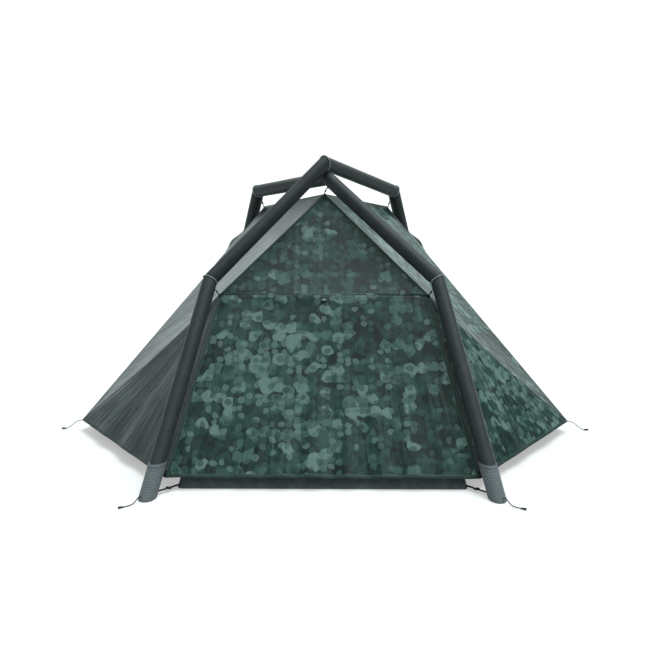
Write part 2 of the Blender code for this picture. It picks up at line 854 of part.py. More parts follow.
# Roll-up toggle: its barrel lies across the door, in a short loop from the door's top
door_top = (shoulder + left_shoulder) / 2
door_foot = (front_corner + left_front_corner) / 2
down_door = (door_foot - door_top).normalized()
across_door = door_out.cross(down_door)
toggle_lift = fly_fabric / 2 + gap + toggle_radius
toggle_middle = door_top + toggle_drop * down_door + toggle_lift * door_out
toggle_end = toggle_middle + toggle_length / 2 * across_door
toggle_round = toggle_radius / 2
door_toggle = add_turned("door_toggle", [
    (0, 0),
    (toggle_round, 0),
    (toggle_radius, -toggle_round),
    (toggle_radius, toggle_round - toggle_length),
    (toggle_round, -toggle_length),
    (0, -toggle_length),
], toggle_end, across_door, black_plastic, 12)
toggle_loop_middle = toggle_middle - (toggle_drop / 2 - toggle_round) * down_door
toggle_loop_middle -= (toggle_radius - toggle_loop_thickness) * door_out
toggle_loop = add_box(
    "Toggle loop", (toggle_loop_thickness, toggle_loop_width, toggle_drop),
    place_along(toggle_loop_middle, down_door, door_out), black_plastic, cutters)
cut(door_toggle, toggle_loop, "UNION")

# Inner tent: floor tray, walls and roof, and the door in its front wall
floor_front = at(floor_front_half_width, floor_front_depth, 0)
floor_rear = at(floor_rear_half_width, floor_rear_depth, 0)
inner_shoulder = at(inner_shoulder_half_width, inner_shoulder_depth, inner_shoulder_height)
inner_rear = at(inner_rear_half_width, inner_rear_depth, inner_rear_height)
inner_peak = at(0, inner_peak_depth, inner_peak_height)


def both_sides(front, rear):
    """Four corners, round from the front left one."""
    return [on_side("left", front), front, rear, on_side("left", rear)]


def wall_corners(height):
    """The inner tent's four corners at a height."""
    return both_sides(
        floor_front.lerp(inner_shoulder, height / inner_shoulder_height),
        floor_rear.lerp(inner_rear, height / inner_rear_height))


tub_walls = [tub_fabric] * 4
add_mesh("groundsheet_tub", *loft([
    wall_corners(0),
    wall_corners(tub_height),
    inset_corners(wall_corners(tub_height), tub_walls),
    inset_corners(wall_corners(tub_fabric), tub_walls),
], capped=True), tub_cloth)

canopy_points = wall_corners(tub_height + gap + inner_fabric / 2)
canopy_points += both_sides(inner_shoulder, inner_rear) + [inner_peak]
inner_canopy = add_cloth("inner_canopy", canopy_points, [
    (0, 1, 5, 4),
    (1, 2, 6, 5),
    (2, 3, 7, 6),
    (3, 0, 4, 7),
    (4, 5, 8),
    (5, 6, 8),
    (6, 7, 8),
    (7, 4, 8),
], inner_cloth, inner_fabric)


def on_front_wall(across, height):
    spot = floor_front.lerp(inner_shoulder, height / inner_shoulder_height)
    return Vector((across, spot.y, height))


def rounded(corners, reach, steps):
    """An outline whose corners are rounded off from a distance before them."""
    outline = []
    for index, corner in enumerate(corners):
        start = corner + (corners[index - 1] - corner).normalized() * reach
        end = corner + (corners[(index + 1) % len(corners)] - corner).normalized() * reach
        for step in range(steps + 1):
            t = step / steps
            outline.append((1 - t) ** 2 * start + 2 * t * (1 - t) * corner + t ** 2 * end)
    return outline


def slab(outline, normal, half_thickness):
    """An outline made a flat solid."""
    move = half_thickness * normal
    return loft([[spot - move for spot in outline], [spot + move for spot in outline]], capped=True)


door_corners = [
    on_front_wall(-inner_door_half_width, inner_door_sill),
    on_front_wall(inner_door_half_width, inner_door_sill),
    on_front_wall(inner_door_top_half_width, inner_door_head),
    on_front_wall(-inner_door_top_half_width, inner_door_head),
]
leaf_corners = inset_corners(door_corners, [inner_door_seam] * 4)
wall_out = outward(door_corners[0], door_corners[2], door_corners[1], door_corners[3])
opening = add_mesh(
    "Inner door opening", *slab(rounded(door_corners, inner_door_round, 5), wall_out, overrun),
    inner_cloth, cutters)
cut(inner_canopy, opening)
add_mesh(
    "inner_door", *slab(rounded(leaf_corners, inner_door_round, 5), wall_out, inner_fabric / 2),
    inner_cloth)


# Hangers between the beams and the fly
def skin_spot(start, end, distance, towards, radius=beam_radius):
    """A point just off a beam's or boot's skin that faces another point, and the way out."""
    line = (end - start).normalized()
    centre = start + distance * line
    away = towards - centre
    away = (away - away.dot(line) * line).normalized()
    return centre + (radius + gap) * away, away


def level_boot_spot(foot, elbow, height, towards):
    """The same on a boot, but straight across on the level."""
    line = (elbow - foot).normalized()
    centre = foot.lerp(elbow, height / elbow.z)
    away = towards - centre
    away.z = 0
    away.normalize()
    return centre + away * (boot_radius / math.sqrt(1 - away.dot(line) ** 2) + gap), away


def cloth_spot(corner, first, second):
    """A point just off the outside of a panel near one of its corners, and the way out."""
    inwards = ((first - corner).normalized() + (second - corner).normalized()).normalized()
    normal = outward(corner, first, corner, second)
    return corner + corner_inset * inwards + (fly_fabric / 2 + gap) * normal, normal


def add_hanger(name, skin, cloth):
    """A cord from a beam's skin to the fly, square to both."""
    skin_point, away = skin
    cloth_point, normal = cloth
    route = [skin_point + share * hanger_straight * away for share in straight_shares]
    route += [cloth_point + share * hanger_straight * normal for share in straight_shares[::-1]]
    return add_curve(name, smooth_route(route, 3 * hanger_radius), hanger_radius, cord_braid)


front_run = (front_elbow - front_foot).length
rear_run = (rear_elbow - rear_foot).length
for side in ("left", "right"):
    foot, elbow, corner = (on_side(side, spot) for spot in (front_foot, front_elbow, shoulder))
    rear_spots = (on_side(side, spot) for spot in (rear_foot, rear_elbow, rear_shoulder))
    low_foot, high_elbow, rear_top = rear_spots
    tip = on_side(side, wing_tip)
    peak = on_side(side, fly_peak)
    add_hanger(
        f"front_{side}_shoulder_hanger", skin_spot(foot, elbow, front_run - hanger_offset, corner),
        cloth_spot(corner, tip, peak))
    add_hanger(
        f"rear_{side}_shoulder_hanger",
        skin_spot(low_foot, high_elbow, rear_run - hanger_offset, rear_top),
        cloth_spot(rear_top, tip, peak))
    hem_spot = cloth_spot(on_side(side, front_corner), corner, tip)
    add_hanger(
        f"front_{side}_corner_cord",
        skin_spot(foot, elbow, corner_cord_distance, hem_spot[0], boot_radius), hem_spot)

add_hanger(
    "apex_hanger", skin_spot(lower_apex, front_elbow, hanger_offset, fly_peak),
    cloth_spot(fly_peak, rear_shoulder, left_rear_shoulder))


# Straps from the floor's corners to the boots
def add_strap(name, corner, foot, elbow):
    """A level strap that ends where the boot's skin cuts it; returns its middle."""
    end, away = level_boot_spot(foot, elbow, strap_height, corner)
    start = Vector((corner.x, corner.y, strap_height)) - gap * away
    reach = (end - start).length + boot_radius / 2
    size = (strap_thickness, strap_width, reach)
    strap = add_box(name, size, place_along(start - reach / 2 * away, away, up), cord_braid)
    line = (elbow - foot).normalized()
    room = add_cylinder(
        f"{name} boot room", foot - boot_height * line, foot + boot_height * line,
        boot_radius + gap, 48)
    cut(strap, room)
    return place_along((start + end) / 2, away, up)


strap_corners = wall_corners(strap_height - strap_thickness / 2)
for side in ("left", "right"):
    placement = add_strap(
        f"front_{side}_floor_strap", on_side(side, strap_corners[1]), on_side(side, front_foot),
        on_side(side, front_elbow))
    add_strap(
        f"rear_{side}_floor_strap", on_side(side, strap_corners[2]), on_side(side, rear_foot),
        on_side(side, rear_elbow))
    buckle = add_box(
        f"front_{side}_strap_buckle", (buckle_height, buckle_width, buckle_length), placement,
        black_plastic)
    slot_size = (strap_thickness + 2 * gap, strap_width + 2 * gap, buckle_length + overrun)
    slot = add_box(f"{side} buckle slot", slot_size, placement, black_plastic, cutters)
    cut(buckle, slot)


# Peg cords, which lie on the ground until they are pegged out
def add_peg_cord(name, points):
    """A cord whose last stretch is its thicker tied end."""
    route = smooth_route(points, 3 * cord_radius)
    swell = [1.0] * len(route)
    length_left = 0.0
    for index in range(len(route) - 1, 0, -1):
        if length_left < peg_end_length:
            swell[index] = peg_end_radius / cord_radius
        length_left += (route[index] - route[index - 1]).length
    return add_curve(name, route, cord_radius, cord_braid, swell=swell)


# Routes of the right side's peg cords, hand laid: across, depth, height
wing_peg_route = [(1.176, 0.888, 0.047), (1.196, 0.891, 0.036), (1.214, 0.894, 0.020),
                  (1.232, 0.897, 0.008), (1.246, 0.899, 0.0048), (1.262, 0.901, 0.0046)]
foot_peg_route = [(0.703, -0.042, 0.0215), (0.7105, -0.055, 0.013), (0.7215, -0.0695, 0.005),
                  (0.736, -0.0845, 0.0036), (0.752, -0.0965, 0.0043), (0.768, -0.105, 0.0046)]

tip_start = wing_tip + Vector((gap + fly_fabric / 2, 0, 0))
for side in ("left", "right"):
    wing_route = [tip_start, *(at(*spot) for spot in wing_peg_route)]
    add_peg_cord(f"{side}_wing_peg_cord", [on_side(side, spot) for spot in wing_route])
    peg_aim = at(*foot_peg_route[0])
    foot_start, away = skin_spot(
        front_foot, front_elbow, foot_peg_distance, peg_aim, boot_radius)
    foot_route = [foot_start + share * cord_straight * away for share in straight_shares]
    foot_route += [at(*spot) for spot in foot_peg_route]
    add_peg_cord(f"front_{side}_peg_cord", [on_side(side, spot) for spot in foot_route])
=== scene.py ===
import math
from functools import partial

import bmesh
import bpy
import numpy as np
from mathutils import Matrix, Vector


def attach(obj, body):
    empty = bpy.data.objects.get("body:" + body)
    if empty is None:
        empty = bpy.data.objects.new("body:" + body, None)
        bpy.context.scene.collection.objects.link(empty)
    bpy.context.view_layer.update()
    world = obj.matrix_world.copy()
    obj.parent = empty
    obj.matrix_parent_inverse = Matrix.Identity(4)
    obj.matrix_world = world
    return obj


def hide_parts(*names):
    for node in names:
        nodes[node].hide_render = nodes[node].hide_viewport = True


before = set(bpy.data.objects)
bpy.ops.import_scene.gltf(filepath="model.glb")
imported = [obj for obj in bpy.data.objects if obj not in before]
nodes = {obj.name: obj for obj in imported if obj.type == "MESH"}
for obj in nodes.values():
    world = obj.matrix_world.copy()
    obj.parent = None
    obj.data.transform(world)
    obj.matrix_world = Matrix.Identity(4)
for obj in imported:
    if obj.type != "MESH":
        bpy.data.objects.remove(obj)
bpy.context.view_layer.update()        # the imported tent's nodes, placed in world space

up = np.array((0.0, 0.0, 1.0))
print("frame loaded with", len(nodes), "nodes")


# Small tools

def hexColour(text):
    # sRGB hex to the linear colour that the shaders mix with
    shares = [int(text[i:i + 2], 16) / 255 for i in (1, 3, 5)]
    linear = [c / 12.92 if c <= 0.04045 else ((c + 0.055) / 1.055) ** 2.4 for c in shares]
    return (*linear, 1.0)


def unit(vector):
    vector = np.asarray(vector, float)
    return vector / np.linalg.norm(vector)


def unitRows(vectors):
    return vectors / np.maximum(np.linalg.norm(vectors, axis=-1, keepdims=True), 1e-12)


def lerp(a, b, share):
    return (1 - share) * np.asarray(a, float) + share * np.asarray(b, float)


def onSide(side, point):
    # points are written for the right side, and the left ones are mirrored
    sign = 1 if side == "right" else -1
    return np.array((sign * point[0], point[1], point[2]), float)


def softNoise(u, v, seed):
    # smooth noise from -1 to 1 on a lattice of unit cells, the same every run
    size = 64
    table = np.random.default_rng(seed).uniform(-1, 1, (size, size))
    cellU, cellV = np.floor(u).astype(int), np.floor(v).astype(int)
    shareU, shareV = u - cellU, v - cellV
    shareU = shareU * shareU * (3 - 2 * shareU)
    shareV = shareV * shareV * (3 - 2 * shareV)
    rows = []
    for row in (cellV % size, (cellV + 1) % size):
        rows.append((1 - shareU) * table[cellU % size, row] + shareU * table[(cellU + 1) % size, row])
    return (1 - shareV) * rows[0] + shareV * rows[1]


def creaseLines(u, v, seed, breadth=0.3):
    # thin ridges that run along v, about one for each unit of u
    wander = softNoise(u, v, seed) + 0.4 * softNoise(u * 2.3 + 5, v * 1.9 + 3, seed + 1)
    return np.exp(-(wander / breadth) ** 2)


def hump(share):
    # 0 at both ends and 1 in the middle
    return np.sin(np.pi * np.clip(share, 0, 1))


def addObject(name, data):
    added = bpy.data.objects.new(name, data)
    bpy.context.scene.collection.objects.link(added)
    return added


# Camera, at the photograph's angle

cameraValues = {
    "place": (0.044, -4.58088, 1.363),
    "pitchDown": 10.99,      # degrees
    "turnLeft": 0.54,
    "focalPixels": 950.0,    # for a frame 650 pixels wide
    "frameWidth": 650.0,
    "sensorWidth": 36.0,     # millimetres
    "farthest": 200.0,
}


def addCamera(values):
    data = bpy.data.cameras.new("photoCamera")
    data.sensor_width = values["sensorWidth"]
    data.lens = values["focalPixels"] / values["frameWidth"] * data.sensor_width
    data.clip_end = values["farthest"]
    camera = addObject("photoCamera", data)
    camera.location = values["place"]
    camera.rotation_euler = (
        math.radians(90 - values["pitchDown"]), 0, math.radians(values["turnLeft"]))
    bpy.context.scene.camera = camera


addCamera(cameraValues)
print("camera set")


# Corner points of the right side, in the frame's metres

frontFoot = np.array((0.678, -1.10088, 0.0))
frontElbow = np.array((0.501, -0.43888, 0.760))
rearElbow = np.array((0.366, 0.60812, 1.094))
rearFoot = np.array((0.662, 1.10712, 0.0))
upperApex = np.array((0.0, -0.04788, 1.258))
lowerApex = np.array((0.0143, -0.03688, 1.1875))
flyPeak = np.array((0.0, -0.05588, 1.114))
shoulder = np.array((0.462, -0.44188, 0.693))
frontCorner = np.array((0.626, -1.00088, 0.050))
wingTip = np.array((1.158, -0.21488, 0.050))
rearShoulder = np.array((0.330, 0.58512, 1.013))
rearCorner = np.array((0.598, 1.02412, 0.050))
heart = np.array((0.0, -0.05588, 0.0))

beamRadius = 0.0325
bootRadius = 0.0344
clearance = 0.0003


# Mesh tools: a piece is made of parts, and a part of points, faces, two flat maps and a slot

def pathLengths(path):
    # how far along a path each of its points lies
    return np.concatenate([[0], np.cumsum(np.linalg.norm(np.diff(path, axis=0), axis=1))])


def mapOf(across, along):
    # a flat map of a grid, from its places across and along in metres
    return np.stack(np.broadcast_arrays(across, along), axis=-1)


def gridPart(points, flat=None, run=None, slot=0):
    rows, columns = points.shape[:2]
    flat = np.zeros((rows, columns, 2)) if flat is None else flat
    run = flat if run is None else run
    start = (np.arange(rows - 1)[:, None] * columns + np.arange(columns - 1)[None, :]).ravel()
    faces = np.stack([start, start + 1, start + columns + 1, start + columns], axis=1)
    return {"points": points.reshape(-1, 3), "faces": faces.tolist(),
            "flat": flat.reshape(-1, 2), "run": run.reshape(-1, 2), "slot": slot}


def gridNormals(points, fallback):
    normals = np.cross(np.gradient(points, axis=0), np.gradient(points, axis=1))
    flatSpots = np.linalg.norm(normals, axis=2, keepdims=True) <= 1e-12
    normals = np.where(flatSpots, fallback, unitRows(normals))
    turned = np.sign(np.sum(normals * fallback, axis=2, keepdims=True))
    return normals * np.where(turned == 0, 1, turned)


def clothParts(points, flat, run, thickness, outward, slot=0):
    # a sheet with both faces and its rim
    shift = gridNormals(points, outward) * thickness / 2
    over, under = points + shift, points - shift
    rows, columns = points.shape[:2]
    border = [(0, c) for c in range(columns)] + [(r, columns - 1) for r in range(1, rows)]
    border += [(rows - 1, c) for c in range(columns - 2, -1, -1)]
    border += [(r, 0) for r in range(rows - 2, -1, -1)]
    pick = tuple(np.array(border).T)
    return [
        gridPart(over, flat, run, slot), gridPart(under, flat, run, slot),
        gridPart(np.stack([over[pick], under[pick]]), np.stack([flat[pick]] * 2),
                 np.stack([run[pick]] * 2), slot)]


def fanPart(ring, flat=None, slot=0):
    # a ring filled from its middle
    count = len(ring)
    flat = np.zeros((count, 2)) if flat is None else flat
    flat = np.vstack([flat, flat.mean(axis=0)])
    return {"points": np.vstack([ring, ring.mean(axis=0)]),
            "faces": [(i, (i + 1) % count, count) for i in range(count)],
            "flat": flat, "run": flat, "slot": slot}


def addPiece(name, parts, materials, body, replaced=(), sharpAngle=None):
    # one object of joined parts that rides on a body and stands for its CAD nodes
    points, flats, runs = (np.vstack([part[key] for part in parts]) for key in ("points", "flat", "run"))
    faces, slots, start = [], [], 0
    for part in parts:
        faces += [[start + spot for spot in face] for face in part["faces"]]
        slots += [part["slot"]] * len(part["faces"])
        start += len(part["points"])
    mesh = bpy.data.meshes.new(name)
    mesh.from_pydata(points.tolist(), [], faces)
    corners = np.empty(len(mesh.loops), int)
    mesh.loops.foreach_get("vertex_index", corners)
    for mapName, values in (("flat", flats), ("run", runs)):
        mesh.uv_layers.new(name=mapName).data.foreach_set("uv", values[corners].ravel())
    for material in materials:
        mesh.materials.append(material)
    mesh.polygons.foreach_set("material_index", slots)
    shape = bmesh.new()
    shape.from_mesh(mesh)
    bmesh.ops.remove_doubles(shape, verts=shape.verts, dist=0.00002)
    bmesh.ops.dissolve_degenerate(shape, edges=shape.edges, dist=0.00001)
    bmesh.ops.recalc_face_normals(shape, faces=shape.faces)
    shape.to_mesh(mesh)
    shape.free()
    mesh.shade_smooth()
    if sharpAngle:
        mesh.set_sharp_from_angle(angle=math.radians(sharpAngle))
    piece = addObject(name, mesh)
    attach(piece, body)
    if replaced:
        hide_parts(*replaced)
    return piece


def pathFrames(path, hint):
    # a turning pair of axes square to a path at each point
    runs = unitRows(np.gradient(path, axis=0))
    side = np.cross(runs[0], hint)
    if np.linalg.norm(side) < 1e-6:
        side = np.array((1.0, 0, 0))
    sides = []
    for run in runs:
        side = unit(side - side.dot(run) * run)
        sides.append(side)
    sides = np.array(sides)
    return sides, np.cross(runs, sides)


def ringFrames(ring):
    # the same for a closed ring, with the second axis out from its middle
    runs = unitRows(np.roll(ring, -1, axis=0) - np.roll(ring, 1, axis=0))
    out = ring - ring.mean(axis=0)
    out = unitRows(out - np.sum(out * runs, axis=1, keepdims=True) * runs)
    return np.cross(runs, out), out


def tubePart(path, radii, sides=12, closed=False, slot=0, hint=up):
    # a round tube along a path or round a ring
    first, second = ringFrames(path) if closed else pathFrames(path, hint)
    if closed:
        path, first, second = (np.vstack([rows, rows[:1]]) for rows in (path, first, second))
    radii = np.broadcast_to(np.asarray(radii, float), len(path))[:, None]
    angle = np.linspace(0, 2 * np.pi, sides + 1)[None, :]
    ring = (np.cos(angle)[:, :, None] * first[:, None, :]
            + np.sin(angle)[:, :, None] * second[:, None, :])
    points = path[:, None, :] + radii[:, :, None] * ring
    parts = [gridPart(points, mapOf(radii * angle, pathLengths(path)[:, None]), slot=slot)]
    if not closed:
        parts += [fanPart(points[0, :-1], slot=slot), fanPart(points[-1, :-1], slot=slot)]
    return parts


def ringAbout(direction, sides):
    # a ring of unit steps out from a line, closed on its first one
    level = np.cross(direction, up)
    level = unit(level) if np.linalg.norm(level) > 1e-6 else np.array((1.0, 0, 0))
    angle = np.linspace(0, 2 * np.pi, sides + 1)[:, None]
    return np.cos(angle) * level + np.sin(angle) * np.cross(direction, level)


def lathePart(profile, foot, direction, sides=24, slot=0):
    # a turned form: (radius, height) pairs about a direction
    direction = unit(direction)
    radius, height = np.array(profile, float).T[:, :, None]
    points = (np.asarray(foot, float) + radius[:, :, None] * ringAbout(direction, sides)
              + height[:, :, None] * direction)
    angle = np.linspace(0, 2 * np.pi, sides + 1)[None, :]
    return [gridPart(points, mapOf(radius * angle, height), slot=slot)]


def blockPart(size, middle, axes, rounding):
    # a block with rounded edges, as rings of a rounded outline
    axes = [unit(axis) for axis in axes]
    half = np.array(size) / 2
    outline = []
    for number, corner in enumerate(((1, 1), (-1, 1), (-1, -1), (1, -1))):
        for step in range(5):
            turn = math.radians(90 * (number + step / 4))
            outline.append((
                corner[0] * (half[0] - rounding) + rounding * math.cos(turn),
                corner[1] * (half[1] - rounding) + rounding * math.sin(turn)))
    outline = np.array(outline + outline[:1])
    rows = []
    for height, inset in (
        (-half[2], rounding * 0.6), (-half[2] + rounding * 0.4, rounding * 0.1),
        (half[2] - rounding * 0.4, rounding * 0.1), (half[2], rounding * 0.6),
    ):
        shrunk = outline * (1 - inset / half[:2])
        rows.append(middle + shrunk[:, :1] * axes[0] + shrunk[:, 1:] * axes[1] + height * axes[2])
    points = np.array(rows)
    return [gridPart(points), fanPart(points[0, :-1]), fanPart(points[-1, :-1])]


def smoothRoute(points, spacing):
    # points along a smooth curve through a cord's route points
    points = [np.asarray(point, float) for point in points]
    ends = [2 * points[0] - points[1], *points, 2 * points[-1] - points[-2]]
    route = []
    for index in range(1, len(ends) - 2):
        before, here, there, after = ends[index - 1:index + 3]
        steps = max(1, round(float(np.linalg.norm(there - here)) / spacing))
        for step in range(steps):
            t = step / steps
            bend = (2 * before - 5 * here + 4 * there - after) * t ** 2
            swing = (3 * here - before - 3 * there + after) * t ** 3
            route.append((2 * here + (there - before) * t + bend + swing) / 2)
    route.append(points[-1])
    return np.array(route)


# Material tools

waveUnit = 0.314             # a wave texture's bands lie this far apart at a scale of 1, in metres


def addNode(tree, kind, inputs=(), output=0, stops=(), stepped=False, **settings):
    # one node with its settings and links; it hands back one output. Inputs come in order or by
    # name, as values, hex colours or other nodes' outputs; a ramp's stops are (place, hex) pairs
    node = tree.nodes.new(f"ShaderNode{kind}")
    for key, value in settings.items():
        setattr(node, key, value)
    for socket, value in inputs.items() if isinstance(inputs, dict) else enumerate(inputs):
        if isinstance(value, bpy.types.NodeSocket):
            tree.links.new(value, node.inputs[socket])
        else:
            node.inputs[socket].default_value = hexColour(value) if isinstance(value, str) else value
    if stops:
        node.color_ramp.interpolation = "CONSTANT" if stepped else "LINEAR"
        elements = node.color_ramp.elements
        while len(elements) < len(stops):
            elements.new(0.5)
        for element, (place, text) in zip(elements, stops):
            element.position = place
            element.color = hexColour(text)
    return node.outputs[output] if node.outputs else node


def startMaterial(name, constants):
    # a new material with its shader's constant sockets set, and the tool that adds its nodes
    material = bpy.data.materials.new(name)
    material.use_nodes = True
    shader = material.node_tree.nodes["Principled BSDF"]
    for socket, value in {"IOR": 1.5, **constants}.items():
        shader.inputs[socket].default_value = value
    return material, partial(addNode, material.node_tree)


def finishMaterial(material, colour, height, strength, distance):
    # colour and relief go into the shader; a height of 1 stands as far out as distance, in metres
    tree = material.node_tree
    shader = tree.nodes["Principled BSDF"]
    relief = addNode(tree, "Bump", {"Height": height, "Strength": strength, "Distance": distance})
    tree.links.new(colour, shader.inputs["Base Color"])
    tree.links.new(relief, shader.inputs["Normal"])
    return material


def mixInputs(share, first, second):
    # a Mix node's sockets for colours, whose result is its output 2; first shows at a share of 0
    return {0: share, 6: first, 7: second}


# Materials

def makeOneTexture(name, constants, kind, inputs, stops, relief, solid=False, **settings):
    # one texture gives both the colour and the relief, on the flat map or through the solid
    material, add = startMaterial(name, constants)
    place = add("TexCoord", output="Object") if solid else add("UVMap", uv_map="flat")
    texture = add(kind, {"Vector": place, **inputs}, "Fac", **settings)
    return finishMaterial(material, add("ValToRGB", (texture,), stops=stops), texture, *relief)


def makeSleeveCloth():
    # Woven polyester, dyed charcoal: dull, with a faint bloom at its edges and a fine weave
    material, add = startMaterial("wovenCharcoalPolyester", {
        "Roughness": 0.55, "Sheen Weight": 0.04, "Specular IOR Level": 0.35})
    flatMap = add("UVMap", uv_map="flat")
    mottle = add("TexNoise", {"Vector": flatMap, "Scale": 22.0, "Detail": 4.0, "Roughness": 0.6})
    colour = add("ValToRGB", (mottle,), stops=[(0.3, "#2b2f31"), (0.7, "#363b3d")])
    # threads go over and under each other, 0.3 mm apart on the real cloth and drawn at 1.6 mm
    # so that they show
    threads = [add("TexWave", {
        "Vector": flatMap, "Scale": waveUnit / (2 * 0.0016), "Distortion": 0.3, "Detail": 1.0},
        "Fac", bands_direction=way) for way in ("X", "Y")]
    weave = add("Math", threads, operation="MULTIPLY")
    drawn = add("Mapping", {"Vector": flatMap, "Scale": (60.0, 7.0, 1.0)})
    slack = add("TexNoise", {"Vector": drawn, "Scale": 1.0, "Detail": 3.0})
    height = add("Math", (slack, 2.0, weave), operation="MULTIPLY_ADD")
    return finishMaterial(material, colour, height, 0.35, 0.0006)


def makeBootCloth():
    # Polyester with moulded grip dots, on a mid grey ground, scuffed where it stands
    material, add = startMaterial("dottedBootPolyester", {"Roughness": 0.72, "Sheen Weight": 0.1})
    flatMap = add("UVMap", uv_map="flat")
    # dots are 2.5 mm across and 5 mm apart, drawn 6.4 mm apart so that they show
    apart = add("TexVoronoi", {"Vector": flatMap, "Scale": 156.0, "Randomness": 0.0},
                voronoi_dimensions="2D")
    dots = add("MapRange", (apart, 0.22, 0.34, 1.0, 0.0))
    scuff = add("TexNoise", {"Vector": flatMap, "Scale": 60.0, "Detail": 6.0, "Roughness": 0.7})
    ground = add("ValToRGB", (scuff,), stops=[(0.35, "#4b5256"), (0.7, "#5b6367")])
    colour = add("Mix", mixInputs(dots, ground, "#9da5a9"), 2, data_type="RGBA")
    return finishMaterial(material, colour, dots, 0.5, 0.0006)


def ripstopHeight(add, flatMap):
    # coated ripstop: thicker threads every 5 mm each way over a smooth ground
    lines = [add("Math", (add(
        "TexWave", {"Vector": flatMap, "Scale": waveUnit / 0.005}, "Fac", bands_direction=way), 12.0),
        operation="POWER") for way in ("X", "Y")]
    return add("Math", lines, operation="MAXIMUM")


def streakNoise(add, runMap, fine, long, shift):
    # streaks along the pull of the cloth; run maps are metres across and metres down
    placed = add("Mapping", {
        "Vector": runMap, "Location": (shift, 0.0, 0.0), "Scale": (fine, long, 1.0)})
    return add("TexNoise", {
        "Vector": placed, "Scale": 1.0, "Detail": 4.0, "Roughness": 0.6, "Distortion": 0.3})


def creaseHeight(add, runMap, shift):
    # long thin creases down the pull, in groups, and more of them towards the hem
    streams = []
    for fine, long, slant in ((11.0, 0.8, 0.16), (17.0, 1.2, -0.20)):
        placed = add("Mapping", (runMap, (shift, slant, 0.0), (0.0, 0.0, slant), (fine, long, 1.0)))
        noise = add("TexNoise", {"Vector": placed, "Scale": 1.0, "Detail": 1.0})
        apart = add("Math", (add("Math", (noise, 0.5), operation="SUBTRACT"),), operation="ABSOLUTE")
        ridge = add("Math", (1.0, add("Math", (apart, 9.0), operation="MULTIPLY")),
                    operation="SUBTRACT", use_clamp=True)
        streams.append(add("Math", (ridge, 2.0), operation="POWER"))
    both = add("Math", (streams[1], -0.8, streams[0]), operation="MULTIPLY_ADD")
    groups = add("TexNoise", {"Vector": runMap, "Scale": 3.5, "Detail": 1.0})
    groups = add("MapRange", (groups, 0.42, 0.58))
    down = add("MapRange", (add("SeparateXYZ", (runMap,), "Y"), 0.15, 0.75, 0.15))
    return add("Math", (add("Math", (both, groups), operation="MULTIPLY"), down), operation="MULTIPLY")


def flyRelief(add, flatMap, runMap, streaks, shift, shares):
    # the ripstop's grid, the streaks and the creases, each with its share of the height
    height = add("Math", (streaks, shares[1]), operation="MULTIPLY")
    height = add("Math", (ripstopHeight(add, flatMap), shares[0], height), operation="MULTIPLY_ADD")
    return add("Math", (creaseHeight(add, runMap, shift), shares[2], height),
               operation="MULTIPLY_ADD")


printValues = {
    "pebble": 0.050,          # across the cell of a large pebble, in metres
    "smallPebble": 0.034,
    "wobble": 0.010,          # how far pebble edges wander
    # a painted highlight round one spot of the flat map, and a painted shade beyond one line of it
    "paintedLightSpot": (0.26, 0.40, 0.0), "paintedLightReach": 0.50, "paintedLightShare": 0.44,
    "paintedShadeLine": -1.0, "paintedShadeShare": 0.10,
    "ground": [(0.42, "#122924"), (0.5, "#17332d"), (0.58, "#203e37")],
    "tones": [(0.0, "#0f2320"), (0.20, "#17342e"), (0.38, "#21413a"), (0.56, "#2e4f47"),
              (0.72, "#48675f"), (0.90, "#69857e")],
    # the streaks' painted sheen and painted crease shade
    "paintedSheenStreak": "#8aa39e", "paintedCreaseShade": "#14231f",
}


